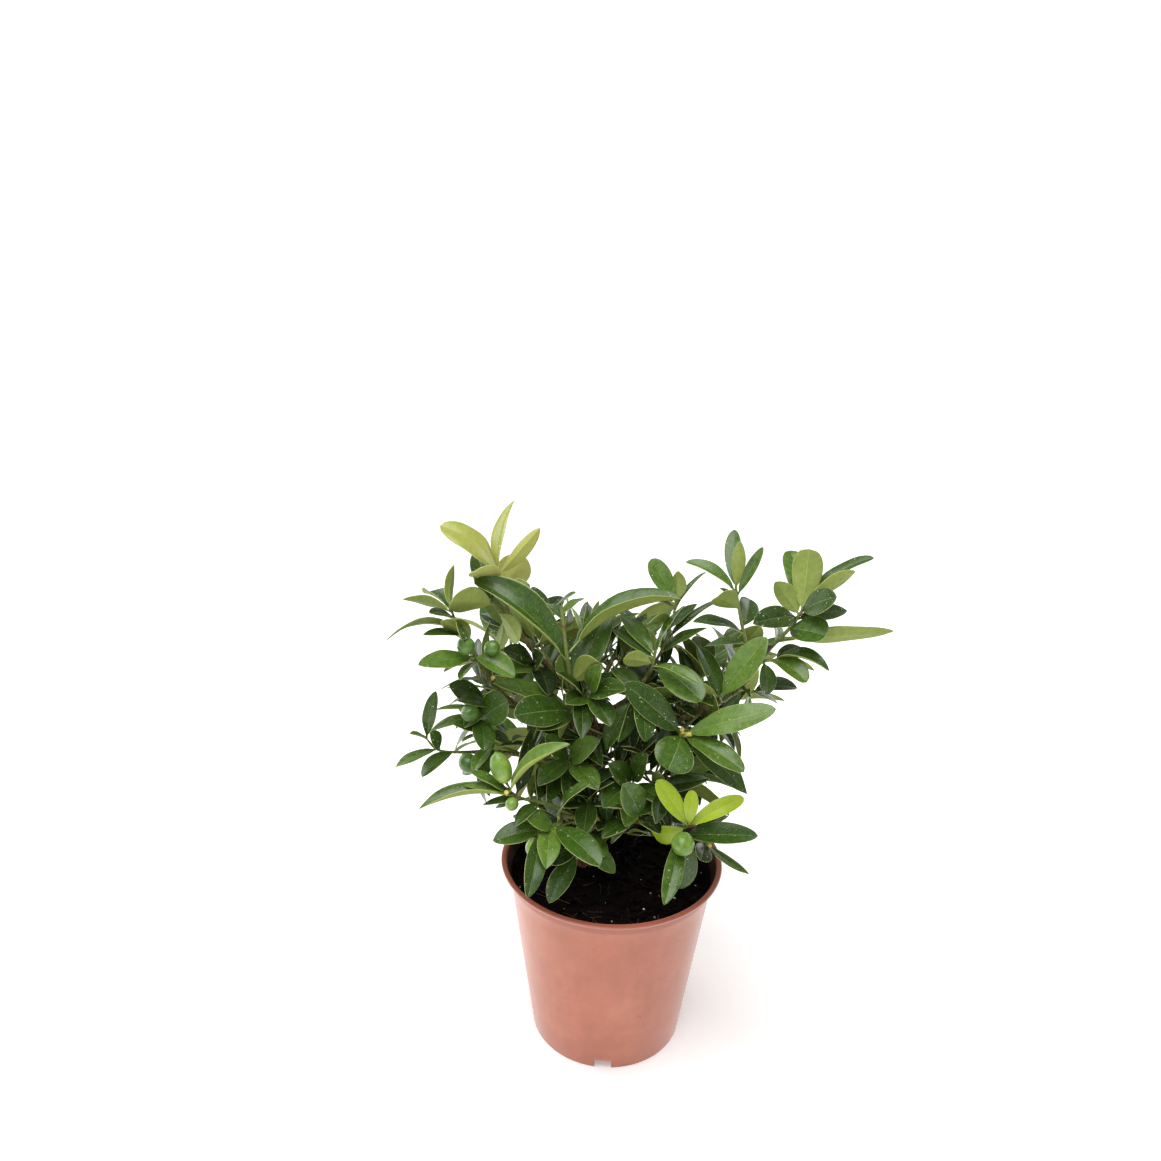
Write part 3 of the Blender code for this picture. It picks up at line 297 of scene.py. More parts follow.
def copies_of(unit, name, places, tones=None):
    """One mesh object of many copies of a modelled piece. Each copy's corners are given as an array,
    and its tone goes into an attribute."""
    mesh = unit.data
    count, size = len(places), len(mesh.vertices)
    faces = [tuple(p.vertices) for p in mesh.polygons]
    made = bpy.data.meshes.new(name)
    made.from_pydata(np.concatenate(places).tolist(), [],
                     [tuple(v + size * n for v in face) for n in range(count) for face in faces])
    for material in mesh.materials:
        made.materials.append(material)
    made.polygons.foreach_set("material_index", [p.material_index for p in mesh.polygons] * count)
    made.polygons.foreach_set("use_smooth", [True] * len(made.polygons))
    if mesh.uv_layers:
        flat = np.empty(len(mesh.loops) * 2, np.float32)
        mesh.uv_layers[0].data.foreach_get("uv", flat)
        made.uv_layers.new(name="UVMap").data.foreach_set("uv", np.tile(flat, count))
    tone = made.attributes.new("tone", "FLOAT", "POINT")
    tone.data.foreach_set("value", np.repeat(tones or [0.5] * count, size))
    made.update()
    piece = bpy.data.objects.new(name, made)
    bpy.context.scene.collection.objects.link(piece)
    return piece


def corners_of(piece):
    flat = np.empty(len(piece.data.vertices) * 3)
    piece.data.vertices.foreach_get("co", flat)
    return flat.reshape(-1, 3)


def placed(corners, matrix):
    """An array of corners, moved by a matrix."""
    return corners @ np.array(matrix.to_3x3()).T + np.array(matrix.translation)


def tree_of(piece):
    return BVHTree.FromPolygons([v.co for v in piece.data.vertices],
                                [tuple(p.vertices) for p in piece.data.polygons])


def rough_grain(name, dent, finish):
    """A small angular grain, one unit across: a sphere pushed in and out at random."""
    grain = fresh(bpy.ops.mesh.primitive_ico_sphere_add, name, subdivisions=2, radius=0.5)
    bpy.ops.object.mode_set(mode="EDIT")
    bpy.ops.transform.vertex_random(offset=dent, seed=SOIL_SEED)
    bpy.ops.object.mode_set(mode="OBJECT")
    grain.data.materials.append(finish)
    return grain


def coir_shred(finish):
    """One shred of coir, ten units long: a thin bar, drawn out and narrowed four times."""
    shred = fresh(bpy.ops.mesh.primitive_cylinder_add, "coir_shred", vertices=5, radius=0.32, depth=2.0,
                  rotation=(0, math.pi / 2, 0))
    for _ in range(4):
        bpy.ops.object.mode_set(mode="EDIT")
        bpy.ops.mesh.select_all(action="DESELECT")
        bpy.ops.object.mode_set(mode="OBJECT")
        end = max(p.center.x for p in shred.data.polygons)
        for face in shred.data.polygons:
            face.select = face.center.x > end - 0.01
        bpy.ops.object.mode_set(mode="EDIT")
        bpy.ops.mesh.select_mode(type="FACE")
        bpy.ops.mesh.extrude_region_move(TRANSFORM_OT_translate={"value": (2.0, 0.5, 0.25)})
        bpy.ops.transform.resize(value=(1.0, 0.85, 0.85))
    bpy.ops.object.mode_set(mode="OBJECT")
    shred.data.materials.append(finish)
    return shred


def scatter_on_soil(unit, name, count, sizes, sink, flat=1.0):
    """Copies of a grain on the soil at random, sunk in by a share of their size."""
    ground = tree_of(soil)
    corners, places, tones = corners_of(unit), [], []
    for _ in range(count):
        reach, turn = SCATTER_REACH * math.sqrt(soil_draw.random()), soil_draw.uniform(0, math.tau)
        hit = ground.ray_cast(Vector(round_axis(reach, turn, 0.2)), Vector((0, 0, -1)))
        size = soil_draw.uniform(*sizes)
        tilt = Matrix.Rotation(soil_draw.uniform(-0.35, 0.35) / flat, 4, "X")
        spin = Matrix.Rotation(soil_draw.uniform(0, math.tau), 4, "Z") @ tilt
        grow = Matrix.Diagonal((size, size * soil_draw.uniform(0.6, 1.0),
                                size * soil_draw.uniform(0.5, 0.9), 1.0))
        lift = Matrix.Translation(hit[0] + Vector((0, 0, size * (0.5 - sink) * 0.5)))
        places.append(placed(corners, lift @ spin @ grow))
        tones.append(soil_draw.random())
    return copies_of(unit, name, places, tones)


def mineral_finish():
    # Expanded perlite: chalk white, dull and pitted, stained by the peat.
    material, shader, add = new_finish("expanded_perlite", Roughness=0.9)
    stain_and_shade = add("TexNoise", {"Vector": add("TexCoord", out="Object"), "Scale": 700.0, "Detail": 3.0})
    tint = add("ValToRGB", {"Fac": stain_and_shade}, [(0.36, "#5E5048"), (0.50, "#B4ABA2"), (0.66, "#E6E2DA")])
    bump = add("Bump", {"Height": stain_and_shade, "Strength": 0.7, "Distance": 0.0004})
    fill(shader, {"Base Color": tint, "Normal": bump})
    return material


def fibre_finish():
    # Coir and shredded bark: red-brown fibres, each of its own shade.
    material, shader, add = new_finish("coir_and_bark_shreds", Roughness=0.8)
    shade = add("Attribute", out="Fac", attribute_name="tone")
    grain = add("TexNoise", {"Vector": add("TexCoord", out="Object"), "Scale": 600.0, "Detail": 3.0})
    tint = add("ValToRGB", {"Fac": shade}, [(0.0, "#080404"), (0.55, "#160B09"), (0.85, "#3A1F14"),
                                            (1.0, "#7A5234")])
    colour = add("Mix", {0: 0.5, 6: tint, 7: grain}, out=2, data_type="RGBA", blend_type="OVERLAY")
    bump = add("Bump", {"Height": grain, "Strength": 0.6, "Distance": 0.0004})
    fill(shader, {"Base Color": colour, "Normal": bump})
    return material


soil = shape_soil()
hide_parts("soil")
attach(soil, "root")
soil_draw = random.Random(SOIL_SEED)
crumb = rough_grain("peat_crumb", 0.22, soil.data.materials[0])
shred = coir_shred(fibre_finish())
pearl = rough_grain("perlite_grain", 0.16, mineral_finish())
litter = [scatter_on_soil(crumb, "peat_crumbs", 420, (0.0020, 0.0065), 0.35),
          scatter_on_soil(shred, "coir_shreds", 130, (0.0007, 0.0015), 0.0, 2.0),
          scatter_on_soil(pearl, "perlite_grains", 34, (0.0011, 0.0024), 0.1)]
for piece in litter:
    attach(piece, "root")
discard(crumb, shred, pearl)


# TRUNK AND BRANCHES
# The woody framework: a red-brown trunk that forks into about a dozen thin branches, with bark that
# is brown and fissured low down and olive where it is young. It grew so, and was pruned to stubs.
# The plant is laid out as it shows from one viewpoint, in a square picture twice PHOTO_CENTRE wide
CAMERA_AT = Vector((-0.0327, -0.7406, 0.6720))
CAMERA_PITCH, CAMERA_ROLL = math.radians(18.94), math.radians(1.44)
PHOTO_FOCAL, PHOTO_CENTRE = 1000.0, 580.5
# The trunk's foot, its course and its radii in mm at both ends. A course is points as a column and row
# of the picture and millimetres behind the pot's axis.
TRUNK_FOOT = 0.0350
TRUNK = ((-0.0230, 0.0080), [(587, 822, 6), (591, 778, 3), (592, 740, 2), (588, 708, 0)], (6.8, 4.2))
# Each branch: its parent, where it leaves it from 0 to 1, its radii in mm at both ends, and its course
BRANCHES = {
    "left_up": ("trunk", 0.94, (3.0, 1.9), [(560, 680, 16), (533, 650, 18), (513, 622, 10), (504, 600, 4)]),
    "left": ("trunk", 0.86, (2.9, 1.9), [(562, 722, 10), (527, 712, 4), (498, 690, -4), (481, 668, -12)]),
    "left_low": ("trunk", 0.55, (2.4, 1.6), [(570, 768, -4), (530, 757, -14), (498, 752, -22),
                                             (470, 752, -28)]),
    "front_left": ("trunk", 0.26, (2.7, 1.9), [(594, 821, -22), (578, 818, -42), (560, 815, -54)]),
    "front_right": ("trunk", 0.22, (2.6, 1.8), [(626, 822, -20), (650, 826, -36), (674, 828, -46)]),
    "low_right": ("trunk", 0.50, (2.2, 1.6), [(622, 778, -8), (646, 772, -18), (664, 777, -26)]),
    "right": ("trunk", 0.90, (4.0, 2.5), [(625, 728, 4), (668, 722, 2), (708, 706, -2), (736, 690, -8),
                                          (757, 664, -8)]),
    "middle": ("trunk", 0.97, (2.4, 1.7), [(603, 712, 8), (620, 704, 6), (637, 690, 0), (648, 676, -6)]),
    "centre": ("trunk", 1.00, (2.6, 2.0), [(583, 712, -6), (576, 700, -14)]),
    "back_left": ("trunk", 0.78, (3.0, 1.8), [(575, 728, 34), (548, 700, 62), (520, 668, 84)]),
    "back": ("trunk", 0.98, (3.0, 1.8), [(598, 690, 32), (610, 664, 62), (622, 640, 88)]),
    "back_right": ("trunk", 0.70, (3.0, 1.8), [(632, 742, 34), (672, 712, 60), (712, 684, 82)]),
    "low_back": ("trunk", 0.45, (2.4, 1.6), [(600, 770, 34), (590, 752, 66), (580, 742, 92)]),
}
YOUNG_BRANCHES = ("front_left", "front_right", "low_right", "left_low")
WOOD_STEP, LIMB_SIDES, VOXEL = 0.006, 12, 0.0008
ROOT_FLARE, FLARE_HEIGHT, FORK_SWELL = 0.0022, 0.007, 0.35
FISSURE_SIZE, FISSURE_DEPTH = 0.0035, 0.0011


def camera_axes():
    """The directions to the camera's right, over its top and ahead of it."""
    ahead = Vector((0, math.cos(CAMERA_PITCH), -math.sin(CAMERA_PITCH)))
    upward = Vector((0, math.sin(CAMERA_PITCH), math.cos(CAMERA_PITCH)))
    level = Vector((1, 0, 0))
    right = math.cos(CAMERA_ROLL) * level + math.sin(CAMERA_ROLL) * upward
    top = math.cos(CAMERA_ROLL) * upward - math.sin(CAMERA_ROLL) * level
    return right, top, ahead


def sight(px, py):
    """The direction from the camera through a place in the picture."""
    right, top, ahead = camera_axes()
    return (ahead + (px - PHOTO_CENTRE) / PHOTO_FOCAL * right
            + (PHOTO_CENTRE - py) / PHOTO_FOCAL * top).normalized()


def seen_at(px, py, behind):
    """The point seen at a place in the picture, so many millimetres behind the pot's axis."""
    ray = sight(px, py)
    return CAMERA_AT + ray * ((behind * MM - CAMERA_AT.y) / ray.y)


def smooth_path(points, steps):
    """Points along a Catmull-Rom curve through the given ones."""
    ends = [2 * points[0] - points[1]] + list(points) + [2 * points[-1] - points[-2]]
    path = []
    for p0, p1, p2, p3 in zip(ends, ends[1:], ends[2:], ends[3:]):
        for k in range(steps):
            t = k / steps
            path.append(0.5 * (2 * p1 + (p2 - p0) * t + (2 * p0 - 5 * p1 + 4 * p2 - p3) * t ** 2
                               + (3 * p1 - p0 - 3 * p2 + p3) * t ** 3))
    return path + [points[-1].copy()]


def path_length(path):
    return sum((b - a).length for a, b in zip(path, path[1:]))


def point_on(path, distance):
    """The point and the direction at a distance along a path."""
    for a, b in zip(path, path[1:]):
        step = (b - a).length
        if distance <= step:
            return a.lerp(b, distance / step), (b - a).normalized()
        distance -= step
    return path[-1].copy(), (path[-1] - path[-2]).normalized()


def evenly(path, step):
    """Points of a path at an even step."""
    length = path_length(path)
    count = max(2, round(length / step))
    return [point_on(path, length * k / count)[0] for k in range(count + 1)]


def grown_from(parent_path, share, points, steps):
    """The path of a stem that leaves its parent at a share of its length and follows a course."""
    start = point_on(parent_path, share * path_length(parent_path))[0]
    return smooth_path([start] + [seen_at(*point) for point in points], steps)


def rod(name, path, radii, sides, tones, finish=None):
    """A round stem along a path: a curve with a bevel, made a mesh. Its tone runs from end to end."""
    take()
    bpy.ops.curve.primitive_nurbs_path_add()
    curve = bpy.context.object
    curve.name = name
    curve.data.splines.clear()
    spline = curve.data.splines.new("POLY")
    spline.points.add(len(path) - 1)
    for point, place, radius in zip(spline.points, path, radii):
        point.co, point.radius = (*place, 1.0), radius
    curve.data.bevel_depth, curve.data.bevel_resolution = 1.0, max(0, sides // 2 - 2)
    curve.data.use_fill_caps = True
    bpy.ops.object.convert(target="MESH")
    stem = bpy.context.object
    rows = [min(range(len(path)), key=lambda n: (path[n] - v.co).length_squared)
            for v in stem.data.vertices]
    tone = stem.data.attributes.new("tone", "FLOAT", "POINT")
    last = len(path) - 1
    tone.data.foreach_set("value", [tones[0] + (tones[1] - tones[0]) * n / last for n in rows])
    if finish:
        stem.data.materials.append(finish)
    return stem


def joined(name, parts):
    """Joins pieces into one object, which keeps the first one's origin."""
    take(*parts)
    if len(parts) > 1:
        bpy.ops.object.join()
    whole = bpy.context.object
    whole.name = name
    return whole


def bark_finish():
    # Citrus bark: dull, red-brown and finely fissured on old wood, turning olive on young wood.
    material, shader, add = new_finish("citrus_bark", IOR=1.45)
    drawn = add("Mapping", {"Vector": add("TexCoord", out="Object"), "Scale": (1.0, 1.0, 0.35)})
    crack = add("TexNoise", {"Vector": drawn, "Scale": 520.0, "Detail": 5.0, "Roughness": 0.65})
    old = add("ValToRGB", {"Fac": crack}, [(0.34, "#2A1610"), (0.50, "#5A3524"), (0.66, "#8A5A40")])
    young = add("ValToRGB", {"Fac": crack}, [(0.34, "#3C3C1A"), (0.52, "#646630"), (0.70, "#8E8E54")])
    age = add("Attribute", out="Fac", attribute_name="tone")
    colour = add("Mix", {0: age, 6: old, 7: young}, out=2, data_type="RGBA")
    rough = add("MapRange", {"Value": crack, "To Min": 0.85, "To Max": 0.62})
    bump = add("Bump", {"Height": crack, "Strength": 0.6, "Distance": 0.0008})
    fill(shader, {"Base Color": colour, "Roughness": rough, "Normal": bump})
    return material


def plan_wood():
    """The path and the radii of the trunk and each branch."""
    (x, y), points, radii = TRUNK
    foot, rise = Vector((x, y, SOIL_TOP - TRUNK_FOOT)), Vector((x, y, SOIL_TOP + 0.006))
    wood = {"trunk": ([foot] + smooth_path([rise] + [seen_at(*point) for point in points], 4),
                      [radius * MM for radius in radii])}
    for name, (parent, share, radii, points) in BRANCHES.items():
        wood[name] = (grown_from(wood[parent][0], share, points, 3), [radius * MM for radius in radii])
    return wood


def grow_wood(wood):
    """Rods for the trunk and each branch, melted together, smoothed at the forks and roughened."""
    limbs = []
    for name, (path, (thick, thin)) in wood.items():
        points = evenly(path, WOOD_STEP)
        count = len(points) - 1
        radii = [thick + (thin - thick) * n / count for n in range(count + 1)]
        if name == "trunk":
            radii = [r + ROOT_FLARE * math.exp(-((p.z - SOIL_TOP) / FLARE_HEIGHT) ** 2)
                     for r, p in zip(radii, points)]
        else:
            radii = [r * (1.0 + FORK_SWELL * math.exp(-n / 1.2)) for n, r in enumerate(radii)]
        tones = (0.0, 0.35) if name == "trunk" else (0.85, 1.0) if name in YOUNG_BRANCHES else (0.25, 1.0)
        limbs.append(rod("limb", points, radii, LIMB_SIDES, tones))
    tones = [(v.co.copy(), limb.data.attributes["tone"].data[v.index].value)
             for limb in limbs for v in limb.data.vertices]
    tree = joined("trunk_and_limbs", limbs)
    fissures = bpy.data.textures.new("fissures", "CLOUDS")
    fissures.noise_scale, fissures.noise_depth = FISSURE_SIZE, 2
    modify(tree, "REMESH", mode="VOXEL", voxel_size=VOXEL)
    modify(tree, "SMOOTH", factor=0.5, iterations=4)
    modify(tree, "DISPLACE", texture=fissures, strength=FISSURE_DEPTH, mid_level=0.45,
           texture_coords="LOCAL")
    bpy.ops.object.shade_smooth()
    # The melted mesh takes each tone from the nearest corner of the rods
    finder = KDTree(len(tones))
    for n, (place, _) in enumerate(tones):
        finder.insert(place, n)
    finder.balance()
    tone = tree.data.attributes.get("tone") or tree.data.attributes.new("tone", "FLOAT", "POINT")
    tone.data.foreach_set("value", [tones[finder.find(v.co)[1]][1] for v in tree.data.vertices])
    tree.data.materials.clear()
    tree.data.materials.append(bark_finish())
    return tree


wood = plan_wood()
framework = grow_wood(wood)
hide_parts("trunk_and_branches")
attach(framework, "root")


# LEAF
# A citrus leaf: a leathery elliptic blade with a waxy dark upper side, a pale dull underside, a thin
# pale margin, a raised midrib and a short green stalk. One is modelled flat and bent to every place.
LEAF_ROWS = (0.0, 0.045, 0.085, 0.12, 0.17, 0.24, 0.32, 0.40, 0.48, 0.56, 0.64, 0.72, 0.80, 0.87, 0.93,
             0.972, 1.0)
LEAF_COLUMNS = (-1.0, -0.93, -0.66, -0.34, -0.08, 0.0, 0.08, 0.34, 0.66, 0.93, 1.0)
BLADE_START, BLADE_HALF, STALK_HALF, TIP_HALF = 0.075, 0.00027, 0.00060, 0.00012
RIB_GROOVE, RIB_RIDGE = 0.00012, 0.00050
# Where the two rings of a solid leaf are along it, and the width of its first as a share of the leaf's:
# for the leaves grown by rule, and for those placed from the picture
RULE_RINGS, PLACED_RINGS = ((0.56, 0.15), 1.05), ((0.74, 0.40), 0.88)
# Leaves whose own form shows. Each is known by where its tip is in the picture, and has its width as a
# share of the solid's, how pointed its tip is (0.4 round, 1.0 sharp), the fold of its halves, the curl of
# its margins (less than 0 is upwards), degrees it is rolled towards the viewer, and its tone
LEAF_FORMS = {
    (440, 526): (0.95, 0.52, 0.1, 0.1, 0, 0.56), (514, 501): (0.82, 0.9, 0.45, 0.0, 0, 0.4),
    (540, 528): (0.66, 0.8, 0.5, -0.2, 0, 0.36), (475, 571): (0.98, 0.5, 0.15, 0.1, 0, 0.9),
    (474, 580): (0.95, 0.5, 0.2, -0.75, 0, 0.46), (403, 599): (0.8, 0.9, 0.35, 0.0, 0, 0.36),
    (454, 565): (0.75, 0.8, 0.3, 0.0, 0, 0.28), (424, 593): (1.0, 0.7, 0.4, -0.3, 0, 0.36),
    (418, 665): (1.0, 0.75, 0.15, 0.0, 0, 0.64), (514, 677): (1.0, 0.7, 0.2, -0.5, 0, 0.68),
    (514, 716): (0.84, 0.6, 0.15, 0.0, 0, 0.3), (569, 744): (0.66, 0.66, 0.3, -0.8, 0, 0.86),
    (419, 809): (0.85, 0.75, 0.3, -0.7, 0, 0.56), (592, 781): (0.8, 0.72, 0.4, -0.7, 0, 0.6),
    (776, 709): (0.86, 0.6, 0.1, -0.1, 0, 0.74), (744, 772): (0.92, 0.56, 0.15, 0.0, 0, 0.6),
    (668, 770): (1.02, 0.4, 0.1, 0.1, 0, 0.52), (767, 638): (0.9, 0.62, 0.2, 0.0, 0, 0.74),
    (698, 684): (0.6, 0.6, 0.25, -0.3, 0, 0.68), (657, 780): (0.86, 0.5, 0.15, 0.0, 0, 0.62),
    (692, 790): (0.82, 0.52, 0.1, 0.0, 0, 0.62), (744, 798): (0.86, 0.52, 0.3, -0.3, 0, 0.74),
    (654, 836): (1.0, 0.5, 0.2, 0.0, 0, 0.48), (734, 530): (0.72, 0.6, 0.25, 0.0, 0, 0.48),
    (740, 541): (0.9, 0.72, 0.2, 0.0, 0, 0.56), (763, 547): (0.62, 0.6, 0.3, -0.4, 0, 0.6),
    (686, 562): (0.8, 0.55, 0.3, -0.3, 0, 0.64), (651, 559): (0.82, 0.5, 0.25, 0.0, 0, 0.64),
    (678, 571): (0.95, 0.8, 0.2, 0.0, 0, 0.28), (809, 549): (0.85, 0.4, 0.1, 0.0, 0, 0.44),
    (790, 551): (1.35, 0.42, 0.15, 0.0, 0, 0.64), (775, 582): (0.9, 0.75, 0.2, 0.0, 0, 0.36),
    (874, 558): (0.95, 0.5, 0.3, 0.0, 45, 0.4), (855, 571): (0.85, 0.6, 0.35, 0.0, 0, 0.52),
    (837, 597): (1.05, 0.6, 0.15, 0.0, 0, 0.28), (826, 636): (1.05, 0.42, 0.15, -0.1, 0, 0.48),
    (894, 631): (0.82, 0.8, 0.2, 0.0, 0, 0.56), (749, 599): (0.95, 0.5, 0.15, 0.0, 0, 0.36),
    (706, 572): (0.55, 0.75, 0.4, 0.0, 0, 0.36), (722, 599): (0.7, 0.8, 0.4, 0.0, 0, 0.2),
    (681, 599): (1.0, 0.7, 0.85, 0.0, 55, 0.48), (806, 682): (0.9, 0.5, 0.25, -0.2, 0, 0.68),
    (829, 671): (0.9, 0.7, 0.3, -0.3, 0, 0.36), (600, 866): (1.0, 0.6, 0.2, 0.0, 0, 0.48),
    (758, 836): (1.0, 0.6, 0.3, -0.3, 0, 0.32), (624, 683): (0.92, 0.62, 0.2, 0.0, 0, 0.25),
    (527, 898): (0.85, 0.7, 0.2, 0.0, 0, 0.3), (422, 777): (0.82, 0.7, 0.25, -0.2, 0, 0.3),
    (436, 691): (0.8, 0.7, 0.2, 0.0, 0, 0.35), (549, 903): (0.95, 0.7, 0.2, 0.0, 0, 0.35),
    (664, 904): (0.9, 0.7, 0.2, 0.0, 0, 0.55), (679, 889): (0.95, 0.6, 0.2, 0.0, 0, 0.35),
    (797, 688): (1.15, 0.7, 0.3, -0.4, 35, 0.3), (524, 556): (1.15, 0.66, 0.2, 0.0, 0, 0.9),
    (702, 701): (0.92, 0.5, 0.15, 0.0, 0, 0.58), (767, 695): (0.75, 0.7, 0.3, 0.0, 0, 0.3),
}
FORM_REACH = 3.0


def leaf_finishes(kind, upper_hues, under_hues, edge_hue):
    """The upper side, underside and margin of a leaf. Each side's hues run from dark to light, and
    the leaf's own tone picks between them."""
    finishes = []
    for side, hues in (("upper", upper_hues), ("under", under_hues)):
        # The upper cuticle is waxy, with a satin gloss; the underside is dull and shows its oil glands.
        upper = side == "upper"
        material, shader, add = new_finish(f"{kind}_{side}", IOR=1.42, Coat_Weight=0.22 if upper else 0.0,
                                           Coat_Roughness=0.22)
        spot = add("TexCoord", out="Object")
        place = add("TexCoord", out="UV")
        tone = add("Attribute", out="Fac", attribute_name="tone")
        mottle = add("TexNoise", {"Vector": spot, "Scale": 260.0, "Detail": 4.0})
        shade = add("Math", {0: mottle, 1: 0.5, 2: tone}, operation="MULTIPLY_ADD")
        shade = add("Math", {0: shade, 1: 0.25}, operation="SUBTRACT")
        tint = add("ValToRGB", {"Fac": shade}, [(0.0, hues[0]), (0.5, hues[1]), (1.0, hues[2])])
        # Across the blade, 0 at the midrib and 1 at the margin
        across = add("SeparateXYZ", {"Vector": place}, out="Y")
        for operation, value in (("SUBTRACT", 0.5), ("ABSOLUTE", 0.0), ("MULTIPLY", 2.0)):
            across = add("Math", {0: across, 1: value}, operation=operation)
        # Side veins leave the midrib every tenth of the length and sweep towards the tip
        beat = add("Math", {0: across, 1: -0.16, 2: add("SeparateXYZ", {"Vector": place}, out="X")},
                   operation="MULTIPLY_ADD")
        for operation, value in (("MULTIPLY", 62.8), ("SINE", 0.0)):
            beat = add("Math", {0: beat, 1: value}, operation=operation)
        vein = add("MapRange", {"Value": beat, "From Min": 0.80, "From Max": 1.0,
                                "To Max": 0.10 if upper else 0.20})
        rib = add("MapRange", {"Value": across, "From Min": 0.075, "From Max": 0.025})
        lines = add("Math", {0: vein, 1: rib}, operation="MAXIMUM")
        pale = add("Math", {0: lines, 1: 0.32}, operation="MULTIPLY")
        rim = add("MapRange", {"Value": across, "From Min": 0.935, "From Max": 0.985})
        gland = add("TexVoronoi", {"Vector": spot, "Scale": 900.0})
        dots = add("MapRange", {"Value": gland, "From Min": 0.28, "From Max": 0.12, "To Max": 0.35})
        colour = tint
        for share, hue in ((pale, hues[3]), (rim, edge_hue), (dots, hues[3] if upper else hues[0])):
            colour = add("Mix", {0: share, 6: colour, 7: hue}, out=2, data_type="RGBA")
        rough = add("MapRange", {"Value": mottle, "From Min": 0.3, "From Max": 0.7,
                                 "To Min": 0.28 if upper else 0.50, "To Max": 0.42 if upper else 0.66})
        swell = add("TexNoise", {"Vector": spot, "Scale": 70.0, "Detail": 1.0})
        bump = add("Bump", {"Height": swell, "Strength": 0.6, "Distance": 0.0020})
        bump = add("Bump", {"Height": lines, "Strength": 0.5, "Distance": 0.0003, "Normal": bump},
                   invert=upper)
        bump = add("Bump", {"Height": gland, "Strength": 0.25, "Distance": 0.0001, "Normal": bump})
        fill(shader, {"Base Color": colour, "Roughness": rough, "Normal": bump})
        finishes.append(material)
    # The margin is a thin hard rim without green, which catches the light.
    material, shader, add = new_finish(f"{kind}_margin", Roughness=0.5)
    worn = add("TexNoise", {"Vector": add("TexCoord", out="Object"), "Scale": 400.0, "Detail": 2.0})
    tint = add("Mix", {0: worn, 6: edge_hue, 7: under_hues[2]}, out=2, data_type="RGBA")
    fill(shader, {"Base Color": tint})
    return [*finishes, material]


def model_leaf():
    """A flat leaf of unit length and width, with a thickness: a grid made solid, whose underside and
    rim have finishes of their own."""
    leaf = fresh(bpy.ops.mesh.primitive_grid_add, "flat_leaf", x_subdivisions=len(LEAF_ROWS) - 1,
                 y_subdivisions=len(LEAF_COLUMNS) - 1, size=1.0, location=(0.5, 0, 0))
    for _ in range(3):
        leaf.data.materials.append(None)
    modify(leaf, "SOLIDIFY", thickness=0.2, offset=0.0, material_offset=1, material_offset_rim=2)
    return leaf


def leaf_spots(node, rule_grown):
    """Every leaf of a CAD shoot, read off its solid: from the tip, four edges lead to a ring of two
    edges and two midrib points, and so on down to the foot. Where the foot is sunk in the stem, the
    arch of the blade gives it."""
    shape = bmesh.new()
    shape.from_mesh(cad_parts[node].data)
    bmesh.ops.remove_doubles(shape, verts=shape.verts, dist=1e-5)
    spots = []
    for tip in shape.verts:
        ring = [edge.other_vert(tip) for edge in tip.link_edges]
        if len(ring) != 4 or sum(shape.edges.get(pair) is not None for pair in combinations(ring, 2)) != 4:
            continue
        reach = sum((v.co for v in ring), Vector()) / 4 - tip.co
        if min((v.co - tip.co).normalized().dot(reach.normalized()) for v in ring) < 0.4:
            continue
        rings, above = [], {tip}
        while len(rings) < 3:
            below = {v: [e.other_vert(v) for e in v.link_edges if e.other_vert(v) not in above
                         and e.other_vert(v) not in ring] for v in ring}
            rings.append(ring)
            following = {v for found in below.values() for v in found}
            if len(following) != 4 or sorted(map(len, below.values())) != [1, 1, 3, 3]:
                break
            above, ring = set(ring), list(following)
        # Of each ring: the middle of its midrib points, the middle of its edges, and its width
        rows = []
        for ring in rings:
            pairs = [pair for pair in combinations(ring, 2) if shape.edges.get(pair) is None]
            if len(pairs) != 2:
                break
            pairs.sort(key=lambda pair: -(pair[0].co - pair[1].co).length)
            (left, right), (over, under) = pairs
            rows.append(((over.co + under.co) / 2, (left.co + right.co) / 2, (left.co - right.co).length))
        if not rows or len(rows) == 1 and rows[0][2] < 0.004:
            continue
        plain = rule_grown or (len(rows) == 2 and rows[1][2] / rows[0][2] < 0.5)
        shares, width = RULE_RINGS if plain else PLACED_RINGS
        top = tip.co.copy()
        first = (rows[0][0] - top * shares[0]) / (1 - shares[0])
        lift = rows[0][1] - rows[0][0]
        if len(rows) > 1:
            second = (rows[1][0] - top * shares[1]) / (1 - shares[1])
            arch = (first - second) / (shares[0] - shares[1])
        else:
            arch = lift.normalized() * 0.28 * (first - top).length
        base = first - arch * shares[0]
        along = (top - base).normalized()
        normal = (lift - along * lift.dot(along)).normalized()
        spots.append({"base": base, "tip": top, "arch": arch, "normal": normal,
                      "width": rows[0][2] / width})
    shape.free()
    return spots


